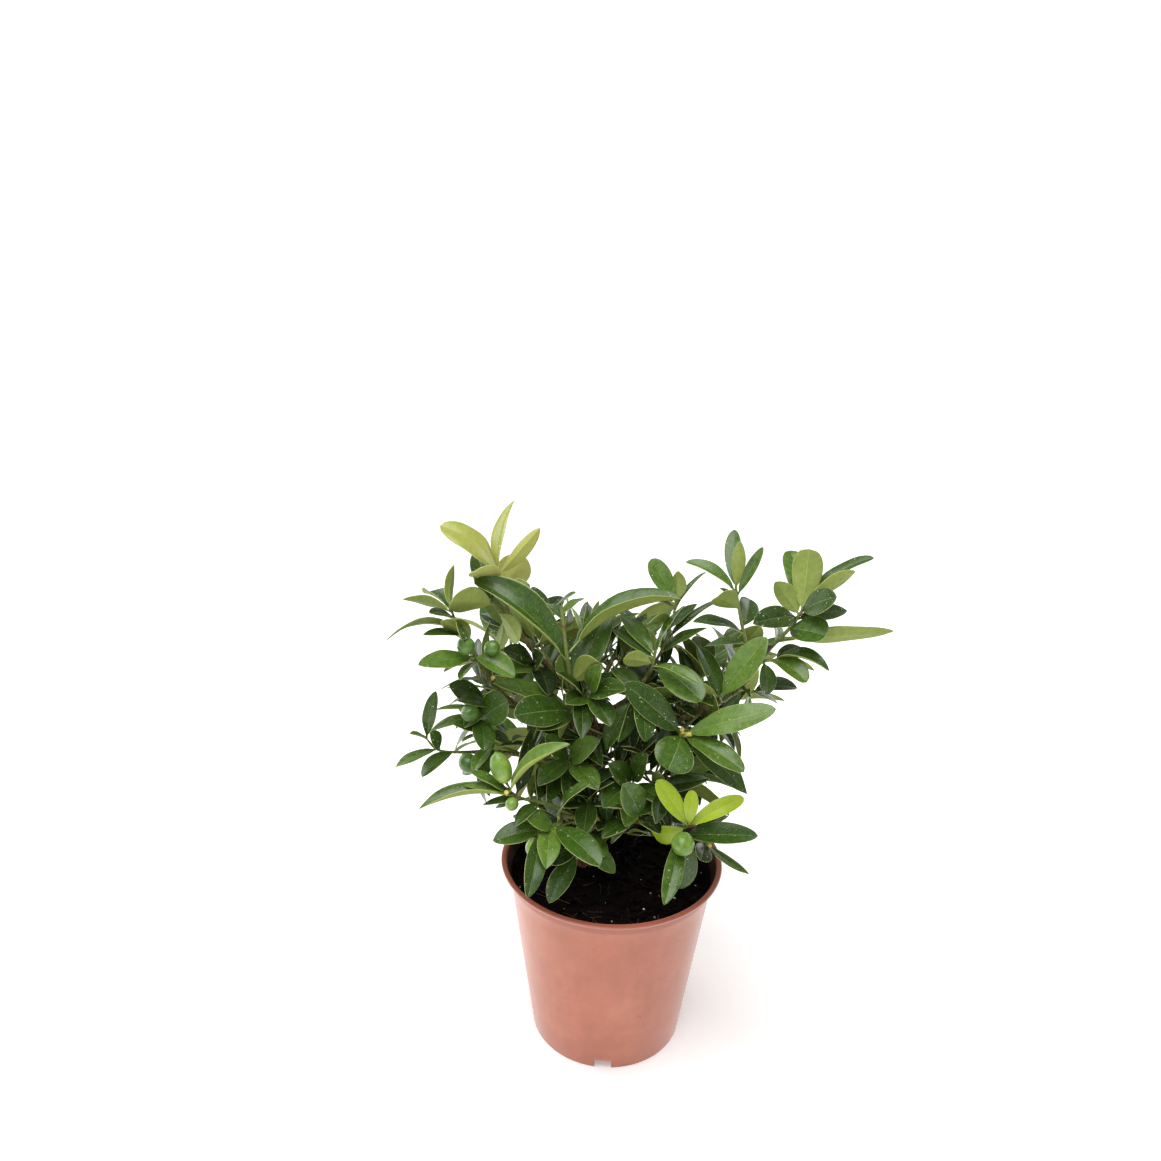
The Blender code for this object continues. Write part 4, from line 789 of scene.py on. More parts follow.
def on_leaf(spot, t, y, side):
    """Points of a bent leaf: t runs along it from 0 to 1, y across it from -1 to 1, and side is 1 on
    the upper face and -1 underneath."""
    base, tip, arch, normal = (np.array(spot[key]) for key in ("base", "tip", "arch", "normal"))
    length = np.linalg.norm(tip - base)
    t, y, side = t[:, None], y[:, None], side[:, None]
    middle = base * (1 - t) + tip * t + arch * t * (1 - t)
    slope = tip - base + arch * (1 - 2 * t)
    slope = slope / np.linalg.norm(slope, axis=1, keepdims=True)
    up = normal - slope * (slope @ normal)[:, None]
    up = up / np.linalg.norm(up, axis=1, keepdims=True)
    right = np.cross(slope, up)
    turn = spot["twist"] * (t - 0.3)
    right, up = right * np.cos(turn) + up * np.sin(turn), up * np.cos(turn) - right * np.sin(turn)
    # The outline, from a narrow stalk to a point, widest where its two powers put it
    blade = np.clip((t - BLADE_START) / (1 - BLADE_START), 0.0, 1.0)
    rise, fall = spot["rise"], spot["fall"]
    peak = rise / (rise + fall)
    outline = (blade ** rise * (1 - blade) ** fall) / (peak ** rise * (1 - peak) ** fall)
    half = np.maximum(spot["width"] / 2 * outline, np.where(t < 0.5, STALK_HALF, TIP_HALF))
    stalk = np.clip(1 - blade / 0.10, 0.0, 1.0)
    # The fold along the midrib, the curl and the wave of the margins, and the thickness with its rib
    curl = spot["curl"] * (1 - blade ** 6)
    lift = half * (1 - stalk) * (spot["fold"] * (1.35 * np.abs(y) - 0.35 * y * y) - curl * y ** 4)
    wave = spot["wave"] * np.sin(math.tau * (spot["waves"] * t + spot["phase"]) + 1.3 * np.sign(y)) * y * y
    wave = wave * (1 - stalk) * np.sin(math.pi * np.clip(t, 0, 1))
    thick = np.where(np.abs(y) > 0.99, 0.6, 1.0) * (BLADE_HALF + (STALK_HALF - BLADE_HALF) * stalk)
    rib = np.exp(-(y / 0.09) ** 2) * (1 - stalk) * (1 - 0.75 * t) * min(1.0, length / 0.05)
    depth = np.where(side > 0, thick - RIB_GROOVE * rib, -thick - RIB_RIDGE * rib)
    return middle + right * (y * half) + up * (lift + wave + depth)


def settle(spot, draw):
    """Gives a leaf its own outline, fold, wave and tone."""
    length = (spot["tip"] - spot["base"]).length
    slim = spot["width"] / length
    spot["rise"] = 0.78 + draw.uniform(-0.06, 0.06)
    spot["fall"] = min(1.0, max(0.50, 1.18 - 0.95 * slim + draw.uniform(-0.08, 0.08)))
    spot["fold"], spot["curl"] = draw.uniform(0.17, 0.27), draw.uniform(0.0, 0.10)
    spot["twist"] = draw.uniform(-0.20, 0.20)
    spot["wave"], spot["waves"] = draw.uniform(0.0002, 0.0007) * length / 0.05, draw.uniform(1.2, 2.2)
    spot["phase"] = draw.random()
    spot["tone"] = min(1.0, max(0.0, draw.gauss(0.42, 0.20)))
    return spot


def seen_as(point):
    """The column and row of the picture where a point shows."""
    way, middle = point - CAMERA_AT, sight(PHOTO_CENTRE, PHOTO_CENTRE)
    beside, above = sight(PHOTO_CENTRE + 1, PHOTO_CENTRE), sight(PHOTO_CENTRE, PHOTO_CENTRE - 1)
    depth = way.dot(middle)
    right = (beside / beside.dot(middle) - middle) * PHOTO_FOCAL
    top = (above / above.dot(middle) - middle) * PHOTO_FOCAL
    return (PHOTO_CENTRE + way.dot(right) / depth * PHOTO_FOCAL,
            PHOTO_CENTRE - way.dot(top) / depth * PHOTO_FOCAL)


def own_form(spot):
    """Gives a leaf that stands out in the picture the form that it has there."""
    seen = seen_as(spot["tip"])
    place = min(LEAF_FORMS, key=lambda key: math.dist(key, seen))
    if math.dist(place, seen) < FORM_REACH:
        share, spot["fall"], spot["fold"], spot["curl"], roll, spot["tone"] = LEAF_FORMS[place]
        spot["width"] *= share
        along = (spot["tip"] - spot["base"]).normalized()
        beside = along.cross(spot["normal"])
        sense = math.copysign(1.0, beside.dot(CAMERA_AT - spot["base"]))
        turn = math.radians(roll)
        spot["normal"] = spot["normal"] * math.cos(turn) + beside * (sense * math.sin(turn))
    return spot


def leaves_at(spots, finishes):
    """The leaves of some spots as one object, in the finishes of their kind."""
    for number, finish in enumerate(finishes):
        flat_leaf.data.materials[number] = finish
    return copies_of(flat_leaf, "leaves", [on_leaf(spot, flat_t, flat_y, flat_side) for spot in spots],
                     [spot["tone"] for spot in spots])


flat_leaf = model_leaf()
flat_shape = corners_of(flat_leaf)
flat_t = np.interp(flat_shape[:, 0] * (len(LEAF_ROWS) - 1), range(len(LEAF_ROWS)), LEAF_ROWS)
flat_y = np.interp((flat_shape[:, 1] + 0.5) * (len(LEAF_COLUMNS) - 1), range(len(LEAF_COLUMNS)),
                   LEAF_COLUMNS)
flat_side = np.sign(flat_shape[:, 2])
mature = leaf_finishes("mature_leaf", ("#122604", "#375611", "#729236", "#B0C272"),
                       ("#566C28", "#818F40", "#A8B25E", "#C4CC88"), "#B2BE6E")
yellow = leaf_finishes("young_yellow_leaf", ("#788434", "#949A44", "#AAAE5A", "#C2C684"),
                       ("#8E9642", "#A6AA54", "#BABC6C", "#CED090"), "#C6CA80")
lime = leaf_finishes("young_lime_leaf", ("#6E8A0C", "#8EA818", "#AABC38", "#D0DA80"),
                     ("#8A9A3C", "#9EAC4C", "#B4BE6C", "#CCD494"), "#CAD878")


# LEAFY SHOOTS
# Young green stems that grow from the branches, each with its leaves, a small bud above every leaf
# stalk, and at its end a pointed bud. Their skin is smooth, olive green and faintly ribbed.
# Each shoot: the branch it grows from, where it leaves it, its radius in mm, and its course
SHOOTS = {
    "flush_top_left": ("left_up", 1.0, 1.5, [(501, 588, 0), (498, 573, -4)]),
    "flush_low_right": ("front_right", 1.0, 1.6, [(682, 828, -54), (689, 826, -66)]),
    "shoot_centre": ("centre", 1.0, 2.0, [(572, 684, -20), (567, 655, -26), (564, 632, -26),
                                          (562, 608, -22)]),
    "shoot_centre_top": ("back", 0.35, 1.3, [(588, 660, 20), (580, 634, 12)]),
    "shoot_left_top": ("left_up", 0.78, 1.5, [(507, 626, 4), (500, 612, -4), (492, 603, -8)]),
    "shoot_left_far": ("left", 0.80, 1.4, [(470, 645, -12), (458, 626, -18), (450, 607, -22)]),
    "shoot_left_mid": ("left", 1.0, 1.4, [(478, 662, -22), (474, 655, -30)]),
    "shoot_left_mid_low": ("left", 0.55, 1.4, [(488, 706, -10), (479, 722, -24)]),
    "shoot_far_left_low": ("left_low", 1.0, 1.2, [(450, 752, -34), (436, 749, -38), (426, 738, -40)]),
    "shoot_left_inner": ("left_low", 0.60, 1.3, [(492, 742, -22), (486, 730, -26)]),
    "shoot_left_dark": ("left", 0.25, 1.6, [(570, 712, -12), (573, 711, -20)]),
    "shoot_front_rosette": ("front_left", 0.80, 1.6, [(550, 805, -58), (528, 800, -66), (507, 794, -70)]),
    "shoot_front_fan": ("front_left", 1.0, 1.6, [(561, 822, -61), (551, 827, -69), (539, 831, -76)]),
    "shoot_front_low": ("front_left", 0.55, 1.4, [(578, 836, -50), (577, 856, -60)]),
    "shoot_front_middle": ("front_right", 0.45, 1.5, [(636, 818, -40), (641, 815, -50)]),
    "shoot_low_right": ("front_right", 0.90, 1.6, [(686, 836, -58), (700, 840, -62), (709, 845, -64)]),
    "shoot_right_node": ("right", 0.62, 1.8, [(684, 728, -14), (681, 736, -36)]),
    "shoot_middle": ("middle", 1.0, 1.5, [(652, 668, -14), (655, 655, -18)]),
    "shoot_middle_low": ("middle", 0.55, 1.4, [(632, 700, -8), (640, 692, -22)]),
    "shoot_right_pair": ("right", 0.80, 1.6, [(722, 702, -14), (719, 697, -20)]),
    "shoot_top_middle": ("middle", 0.75, 1.4, [(662, 650, 4), (672, 620, 4), (677, 600, 2)]),
    "shoot_top_right": ("right", 0.98, 1.5, [(746, 642, -8), (740, 615, -8), (736, 588, -6)]),
    "shoot_right_crown": ("right", 1.0, 1.8, [(772, 646, -12), (790, 628, -16), (804, 608, -18)]),
    "shoot_right_low": ("right", 0.93, 1.6, [(762, 662, -18), (776, 660, -22)]),
    "shoot_right_under": ("right", 0.86, 1.5, [(748, 692, -14), (752, 692, -22)]),
    "shoot_inner_left": ("left_up", 0.40, 1.4, [(542, 668, 22), (534, 664, 22)]),
    "shoot_inner_low_left": ("left_low", 0.25, 1.5, [(568, 764, -14), (570, 760, -24)]),
    "shoot_inner_low_right": ("low_right", 0.50, 1.5, [(634, 780, -18), (630, 786, -24)]),
    "shoot_inner_top": ("centre", 0.50, 1.4, [(584, 700, -12), (590, 694, -18)]),
    "shoot_top_left_back": ("back_left", 0.62, 1.4, [(545, 668, 58), (541, 640, 48), (540, 620, 44)]),
    "shoot_inner_right": ("right", 0.34, 1.4, [(668, 744, 16), (680, 760, 20)]),
}
# Those at the back and inside, whose leaves stand round the stem by rule
HIDDEN_SHOOTS = {
    "shoot_back_1": ("back_left", 1.0, 1.4, [(508, 655, 92), (500, 638, 96)]),
    "shoot_back_3": ("back", 1.0, 1.4, [(626, 642, 96), (632, 636, 104)]),
    "shoot_back_4": ("back", 0.66, 1.4, [(600, 658, 64), (596, 650, 70)]),
    "shoot_back_5": ("back_right", 1.0, 1.4, [(726, 672, 92), (738, 658, 96)]),
    "shoot_back_6": ("back_right", 0.64, 1.4, [(700, 676, 62), (706, 660, 64)]),
    "shoot_back_7": ("low_back", 1.0, 1.4, [(575, 734, 108), (570, 722, 116)]),
    "shoot_back_8": ("low_back", 0.55, 1.4, [(622, 748, 62), (640, 738, 78)]),
    "shoot_back_9": ("back_left", 0.86, 1.4, [(514, 694, 80), (496, 696, 90)]),
    "shoot_back_10": ("back_right", 0.86, 1.4, [(720, 704, 78), (730, 700, 90)]),
    "shoot_back_11": ("low_back", 0.80, 1.4, [(560, 762, 84), (546, 762, 94)]),
    "shoot_back_12": ("back_right", 0.35, 1.4, [(660, 748, 56), (678, 752, 68)]),
    "shoot_inner_1": ("left_up", 0.62, 1.4, [(538, 646, 38), (532, 636, 44)]),
    "shoot_inner_2": ("back", 0.42, 1.4, [(618, 664, 36), (628, 648, 34)]),
    "shoot_inner_3": ("left", 0.45, 1.4, [(530, 738, 18), (516, 744, 22)]),
    "shoot_inner_5": ("right", 0.45, 1.4, [(696, 694, 28), (702, 676, 32)]),
    "shoot_inner_6": ("low_back", 0.30, 1.4, [(580, 790, 32), (568, 800, 40)]),
    "shoot_inner_7": ("low_right", 1.0, 1.4, [(676, 780, -16), (684, 776, -6)]),
}
LEAF_SEED, STEM_STEP, STEM_TONES = 26, 0.004, (0.1, 0.9)
BUD_LIFT, BUD_SIZES, END_BUD = 0.0012, (0.0018, 0.0030), 0.0042


def stem_finish():
    # Young citrus stem: a smooth green skin, faintly ribbed, browner towards its foot.
    material, shader, add = new_finish("green_citrus_stem", Roughness=0.5, IOR=1.45)
    fleck = add("TexNoise", {"Vector": add("TexCoord", out="Object"), "Scale": 500.0, "Detail": 3.0})
    age = add("Attribute", out="Fac", attribute_name="tone")
    tint = add("ValToRGB", {"Fac": age}, [(0.0, "#5E5A2A"), (0.35, "#75803C"), (1.0, "#8FA24E")])
    dark = add("Mix", {0: 1.0, 6: tint, 7: "#7C7C60"}, out=2, data_type="RGBA", blend_type="MULTIPLY")
    colour = add("Mix", {0: fleck, 6: tint, 7: dark}, out=2, data_type="RGBA")
    bump = add("Bump", {"Height": fleck, "Strength": 0.4, "Distance": 0.0003})
    fill(shader, {"Base Color": colour, "Normal": bump})
    return material


def model_bud():
    """A bud of unit height on the origin: a ball drawn out to a point, with its foot narrowed."""
    bud = fresh(bpy.ops.mesh.primitive_uv_sphere_add, "leaf_bud", segments=8, ring_count=6, radius=0.5,
                location=(0, 0, 0.45))
    for vertex in bud.data.vertices:
        height = vertex.co.z
        girth = (0.95 - 0.75 * height) if height > 0.4 else 0.65
        vertex.co.x *= girth
        vertex.co.y *= girth
        if height > 0.8:
            vertex.co.z += 0.15
    return bud


def pointing(place, way, size, squat=1.0):
    """A matrix that stands a unit piece on a place, along a direction."""
    turn = Vector((0, 0, 1)).rotation_difference(way).to_matrix().to_4x4()
    return Matrix.Translation(place) @ turn @ Matrix.Diagonal((size * squat, size * squat, size, 1.0))


def buds_on(spots, path, steps):
    """A bud above the stalk of every leaf, leaning the way of the leaf, and one at the stem's end."""
    shape, stands = corners_of(leaf_bud), []
    for spot in spots:
        along = point_on(path, min(path_length(path) - 0.001, (spot["base"] - path[0]).length))[1]
        away = (spot["tip"] - spot["base"]).normalized()
        stands.append(pointing(spot["base"] + away * BUD_LIFT, (along + away * 0.6).normalized(),
                               leaf_draw.uniform(*BUD_SIZES), 0.8))
    last = steps[-1] - steps[-2]
    stands.append(pointing(steps[-1] - last * 0.2, last.normalized(), END_BUD, 0.75))
    return copies_of(leaf_bud, "buds", [placed(shape, stand) for stand in stands])


stem_skin = stem_finish()
leaf_bud = model_bud()
leaf_bud.data.materials.append(stem_skin)
leaf_draw = random.Random(LEAF_SEED)
all_spots, stems = [], {}
for node, (parent, share, radius, points) in {**SHOOTS, **HIDDEN_SHOOTS}.items():
    path = stems[node] = grown_from(wood[parent][0], share, points, 4)
    spots = [own_form(settle(spot, leaf_draw)) for spot in leaf_spots(node, node in HIDDEN_SHOOTS)]
    leaves = leaves_at(spots, {"flush_top_left": yellow, "flush_low_right": lime}.get(node, mature))
    steps = evenly(path, STEM_STEP)
    count = len(steps) - 1
    stem = rod("stem", steps, [radius * MM * (1.12 - 0.45 * n / count) for n in range(count + 1)], 8,
               STEM_TONES, stem_skin)
    bpy.ops.object.shade_smooth()
    name = node.replace("shoot_", "leafy_shoot_") if node.startswith("shoot") else node + "_leaves"
    piece = joined(name, [leaves, stem, buds_on(spots, path, steps)])
    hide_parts(node)
    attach(piece, "root")
    all_spots += spots
discard(leaf_bud)


# INNER TWIGS
# The crowded inside of the bush: short twigs on the old wood, whose leaves are smaller, and darker as
# painted shade for the shadow inside the bush. They grow where there is room and stay within the bush's
# outline.
INNER_SEED, INNER_TWIGS, INNER_PAINTED_SHADE = 5, 110, 0.35
TRIES_PER_TWIG, TRIES_PER_LEAF, LEAVES_PER_TWIG = 12, 7, 6
TWIG_LENGTHS, INNER_LENGTHS, INNER_SLIMNESS = (0.014, 0.030), (0.028, 0.050), (0.28, 0.38)
GOLDEN_ANGLE, INNER_OPENING = math.radians(137.5), (35, 75)
# How far the leaves and the twigs stay above the soil
LEAF_CLEARANCE, TWIG_CLEARANCE = 0.004, 0.008
# The twigs are joined in two halves, parted here across the bush
MIDDLE = -0.005
# The outline of the crown, as places in the picture
CROWN = [(430, 600), (470, 575), (520, 565), (560, 604), (600, 596), (640, 604), (662, 588), (700, 604),
         (740, 604), (786, 622), (768, 664), (742, 700), (744, 742), (720, 772), (700, 800), (684, 832),
         (640, 846), (600, 850), (560, 842), (520, 830), (490, 808), (470, 782), (446, 762), (452, 722),
         (440, 690), (450, 660), (432, 640)]
# Where light shows through between the leaves: a place in the picture and its radius
LIGHT_GAPS = [(480, 625, 7), (544, 668, 8), (498, 686, 6), (505, 697, 8), (470, 670, 7), (612, 674, 9),
              (604, 720, 9), (622, 727, 6), (500, 732, 10), (614, 754, 6), (644, 781, 8), (652, 650, 5),
              (696, 644, 8), (714, 676, 7), (496, 608, 4), (508, 610, 4), (531, 650, 4), (677, 620, 5)]


def within(px, py, outline):
    """Whether a place in the picture is inside an outline."""
    inside = False
    for (ax, ay), (bx, by) in zip(outline, outline[1:] + outline[:1]):
        if (ay > py) != (by > py) and px < (bx - ax) * (py - ay) / (by - ay) + ax:
            inside = not inside
    return inside


def sheet_of(spot):
    """A leaf as a coarse sheet, to test whether it is clear of its neighbours."""
    t = np.repeat((0.12, 0.30, 0.50, 0.70, 0.88, 1.0), 3)
    y = np.tile((-1.0, 0.0, 1.0), 6)
    points = on_leaf(spot, t, y, np.ones(18))
    faces = [(r * 3 + c, r * 3 + c + 1, r * 3 + c + 4, r * 3 + c + 3) for r in range(5) for c in range(2)]
    return points, BVHTree.FromPolygons(points.tolist(), faces)


def shows_badly(points, shown):
    """Whether a leaf would cover one that the picture shows, or close a gap in it."""
    covers = 0
    for point in map(Vector, points):
        px, py = seen_as(point)
        if not within(px, py, CROWN) or any(math.hypot(px - x, py - y) < r for x, y, r in LIGHT_GAPS):
            return True
        ray = (point - CAMERA_AT).normalized()
        hidden = any(tree.ray_cast(point, -ray)[0] for tree in shown)
        covers += not hidden and any(tree.ray_cast(point, ray)[0] for tree in shown)
    return covers > 2


def inner_leaf(base, ahead, number, draw):
    """A leaf tried out at a place on a twig, round which the leaves stand a golden angle apart."""
    out = Matrix.Rotation(GOLDEN_ANGLE * number + draw.uniform(-0.7, 0.7), 3, ahead) \
        @ ahead.orthogonal().normalized()
    opening = math.radians(draw.uniform(*INNER_OPENING))
    reach = (ahead * math.cos(opening) + out * math.sin(opening)
             + Vector((0, 0, draw.uniform(-0.2, 0.3)))).normalized()
    length = draw.uniform(*INNER_LENGTHS)
    normal = ahead * 0.6 + Vector((0, 0, 0.7)) + out * draw.uniform(-0.3, 0.3)
    normal = (normal - reach * normal.dot(reach)).normalized()
    return settle({"base": base, "tip": base + reach * length, "arch": normal * 0.26 * length,
                   "normal": normal, "width": length * draw.uniform(*INNER_SLIMNESS)}, draw)


def grow_inner_twigs(draw):
    """Twigs on the branches, each kept if at least two of its leaves find room."""
    taken = [tree_of(o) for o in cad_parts.values()]
    shown = [tree_of(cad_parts[node]) for node in SHOOTS]
    limbs = ([name for name in wood if name != "trunk"] + ["trunk"] * 2
             + ["front_right", "low_right", "right"] * 3)
    spots, twigs = [], []
    for _ in range(INNER_TWIGS * TRIES_PER_TWIG):
        if len(twigs) >= INNER_TWIGS:
            break
        path = wood[draw.choice(limbs)][0]
        start, along = point_on(path, path_length(path) * draw.uniform(0.35, 0.98))
        side = Matrix.Rotation(draw.uniform(0, math.tau), 3, along) @ along.orthogonal().normalized()
        way = (side + along * draw.uniform(0.2, 0.8) + Vector((0, 0, 0.35))).normalized()
        end = start + way * draw.uniform(*TWIG_LENGTHS)
        if end.z < SOIL_TOP + TWIG_CLEARANCE or not within(*seen_as(end), CROWN):
            continue
        twig = smooth_path([start, start.lerp(end, 0.5) + side * 0.0015, end], 4)
        kept = []
        for number in range(LEAVES_PER_TWIG):
            base, ahead = point_on(twig, path_length(twig) * (0.35 + 0.63 * number / (LEAVES_PER_TWIG - 1)))
            for _ in range(TRIES_PER_LEAF):
                spot = inner_leaf(base, ahead, number, draw)
                points, sheet = sheet_of(spot)
                if points[:, 2].min() < SOIL_TOP + LEAF_CLEARANCE:
                    continue
                if shows_badly(points[::2], shown) or any(sheet.overlap(other) for other in taken):
                    continue
                # Painted shade: leaves inside the bush get a darker tone.
                spot["tone"] *= INNER_PAINTED_SHADE
                taken.append(sheet)
                kept.append(spot)
                break
        if len(kept) >= 2:
            spots += kept
            radii = [0.0011 - 0.0003 * n / (len(twig) - 1) for n in range(len(twig))]
            twigs.append(rod("twig", twig, radii, 6, (0.0, 0.6), stem_skin))
    return spots, twigs


inner_spots, twigs = grow_inner_twigs(random.Random(INNER_SEED))
halves = [(half, [twig for twig in twigs if (twig.data.vertices[0].co.x < MIDDLE) == (half == "left")],
           [spot for spot in inner_spots if (spot["base"].x < MIDDLE) == (half == "left")])
          for half in ("left", "right")]
for half, own_twigs, spots in halves:
    inner = joined(f"inner_twigs_{half}", [leaves_at(spots, mature)] + own_twigs)
    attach(inner, "root")


# FRUITS
# Small unripe limequats, hung singly on short green stalks under a star-shaped calyx. The peel is
# smooth and glossy, dimpled by its oil glands, and still green.
# Each fruit hangs from the shoot of its name, at a share of its length
FRUITS = {"fruit_far_left_low_1": 0.02, "fruit_front_fan_1": 0.30, "fruit_front_fan_2": 0.95,
          "fruit_front_rosette_1": 0.95, "fruit_front_rosette_2": 0.80, "fruit_left_mid_1": 0.80,
          "fruit_left_mid_2": 0.40, "fruit_left_mid_low_1": 0.70, "fruit_low_right_1": 0.20}
# Painted light: these fruits get the lighter peel hues, and the others the darker ones as painted shade.
PAINTED_LIT_FRUITS = ("fruit_front_rosette_1", "fruit_front_rosette_2", "fruit_low_right_1", "fruit_front_fan_1",
                 "fruit_front_fan_2")
CALYX_SIZE, STALK_RADII = 0.0048, [0.0009] * 7 + [0.0010, 0.0012]


def peel_finish(name, hues):
    # Green citrus peel: waxy gloss over small round oil glands. Its hues carry painted light and shade: a
    # lighter set for the lit fruits in front, a darker set for those in shade.
    material, shader, add = new_finish(name, IOR=1.46, Coat_Weight=0.25, Coat_Roughness=0.15)
    spot = add("TexCoord", out="Object")
    blush = add("TexNoise", {"Vector": spot, "Scale": 90.0, "Detail": 2.0})
    tint = add("ValToRGB", {"Fac": blush}, [(0.30, hues[0]), (0.55, hues[1]), (0.75, hues[2])])
    gland = add("TexVoronoi", {"Vector": spot, "Scale": 750.0})
    dots = add("MapRange", {"Value": gland, "From Min": 0.35, "From Max": 0.10, "To Max": 0.4})
    colour = add("Mix", {0: dots, 6: tint, 7: "#38581A"}, out=2, data_type="RGBA")
    rough = add("MapRange", {"Value": blush, "To Min": 0.26, "To Max": 0.40})
    bump = add("Bump", {"Height": gland, "Strength": 0.45, "Distance": 0.0003})
    fill(shader, {"Base Color": colour, "Roughness": rough, "Normal": bump})
    return material


def model_fruit():
    """A fruit of unit length and width, pole up on the origin: a ball with a shallow dip at its stalk
    and a small nipple at its other end."""
    ball = fresh(bpy.ops.mesh.primitive_uv_sphere_add, "peel", segments=24, ring_count=18, radius=0.5,
                 location=(0, 0, 0.5))
    for vertex in ball.data.vertices:
        height, narrow = (0.06, 0.12) if vertex.co.z < 0.5 else (0.05, 0.06)
        vertex.co.z += height * math.exp(-(math.hypot(vertex.co.x, vertex.co.y) / narrow) ** 2)
    return ball


def model_calyx():
    """The calyx: a small disc with five blunt lobes, drawn up from a ten-sided cone."""
    cup = fresh(bpy.ops.mesh.primitive_cone_add, "calyx", vertices=10, radius1=0.5, radius2=0.22,
                depth=0.30, location=(0, 0, -0.08))
    for vertex in cup.data.vertices:
        turn = math.atan2(vertex.co.y, vertex.co.x)
        if abs(math.cos(turn * 2.5)) < 0.5 and vertex.co.z < 0:
            vertex.co.x *= 0.6
            vertex.co.y *= 0.6
    return cup


def read_fruit(node, hang):
    """The end at the stalk, the direction, the length and the radius of a CAD fruit."""
    shape = bmesh.new()
    shape.from_mesh(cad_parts[node].data)
    bmesh.ops.remove_doubles(shape, verts=shape.verts, dist=1e-5)
    poles = [v.co.copy() for v in shape.verts if len(v.link_edges) >= 10]
    girth = [v.co.copy() for v in shape.verts]
    shape.free()
    poles.sort(key=lambda pole: (pole - hang).length)
    stalk_end, blossom_end = poles[0], poles[-1]
    axis = (blossom_end - stalk_end).normalized()
    radius = max((v - stalk_end - axis * (v - stalk_end).dot(axis)).length for v in girth)
    return stalk_end, axis, (blossom_end - stalk_end).length, radius


ball, cup = model_fruit(), model_calyx()
# Painted light and shade: one peel in darker hues for shaded fruits, one in lighter hues for lit fruits.
painted_shade_peel = peel_finish("citrus_peel_painted_shade", ("#36561A", "#486C22", "#668634"))
painted_lit_peel = peel_finish("citrus_peel_painted_lit", ("#5A7E2A", "#7A9A3A", "#9CB456"))
ball.data.materials.append(painted_shade_peel)
cup.data.materials.append(stem_skin)
for node, share in FRUITS.items():
    path = stems[node.rsplit("_", 1)[0].replace("fruit_", "shoot_")]
    hang = point_on(path, path_length(path) * min(0.10 + 0.88 * share, 0.985))[0]
    stalk_end, axis, length, radius = read_fruit(node, hang)
    stand = pointing(stalk_end, axis, length, 2 * radius / length)
    body = copies_of(ball, "peel", [placed(corners_of(ball), stand)])
    body.data.materials[0] = painted_lit_peel if node in PAINTED_LIT_FRUITS else painted_shade_peel
    crown = copies_of(cup, "calyx", [placed(corners_of(cup), pointing(stalk_end, -axis, CALYX_SIZE))])
    sag = hang.lerp(stalk_end, 0.55) + Vector((0, 0, 0.001))
    stalk = rod("stalk", smooth_path([hang, sag, stalk_end], 4), STALK_RADII, 6, (0.0, 1.0), stem_skin)
    bpy.ops.object.shade_smooth()
    piece = joined(node.replace("fruit_", "limequat_"), [body, crown, stalk])
    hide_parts(node)
    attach(piece, "root")
discard(ball, cup, flat_leaf)


# STUBS AND BUDS
# Where the plant was pruned, short stubs stand with a pale cut face, some dried dark, and a few swollen
# brown buds sit in the axils. Each stands on the stem or branch that passes behind it in the picture.
# A stub has its place in the picture, its radius and length in mm, and how it ends
STUBS = [(671, 734, 2.8, 9.0, "fresh"), (682, 731, 2.0, 9.0, "fresh"), (693, 736, 1.8, 8.5, "fresh"),
         (496, 676, 1.5, 4.0, "fresh"), (600, 820, 2.4, 5.0, "fresh"), (636, 817, 1.5, 4.0, "fresh"),
         (505, 791, 1.8, 3.5, "fresh"), (711, 848, 1.5, 3.5, "fresh"), (768, 647, 1.7, 7.0, "dried"),
         (692, 829, 1.2, 3.0, "dried"), (566, 625, 1.3, 2.6, "bud"), (803, 616, 1.2, 2.4, "bud"),
         (755, 664, 1.4, 3.0, "bud"), (512, 806, 1.8, 3.5, "bud")]
CUT_HUES = {"fresh": ("#CDBE46", "#EEDF86", "#D2B452"), "dried": ("#5A4638", "#43262A", "#2C1618"),
            "bud": ("#6A5030", "#8A6240", "#5A4028")}
STUB_STEPS = (0.0, 0.35, 0.7, 0.93, 1.0)
STUB_GIRTHS, BUD_GIRTHS = (0.9, 0.95, 1.0, 1.05, 0.85), (0.9, 1.0, 1.25, 0.75, 0.2)


def cut_finish(kind, skin_hue, light_hue, ring_hue):
    # Cut citrus wood: cream when fresh, purple-brown once dried, with faint rings and a rough bark edge.
    material, shader, add = new_finish(f"{kind}_stub", Roughness=0.7)
    age = add("Attribute", out="Fac", attribute_name="tone")
    fibre = add("TexNoise", {"Vector": add("TexCoord", out="Object"), "Scale": 1400.0, "Detail": 3.0})
    grain = add("Mix", {0: fibre, 6: light_hue, 7: ring_hue}, out=2, data_type="RGBA")
    colour = add("Mix", {0: age, 6: skin_hue, 7: grain}, out=2, data_type="RGBA")
    bump = add("Bump", {"Height": fibre, "Strength": 0.5, "Distance": 0.0003})
    fill(shader, {"Base Color": colour, "Normal": bump})
    return material


def stem_behind(px, py):
    """The point of a branch or shoot that shows nearest to a place in the picture."""
    paths = [path for path, _ in wood.values()] + [stems[node] for node in SHOOTS]
    points = [point for path in paths for point in evenly(path, 0.002)]
    return min(points, key=lambda p: math.dist(seen_as(p), (px, py))
               + 0.08 * (p - CAMERA_AT).length / MM / 10)


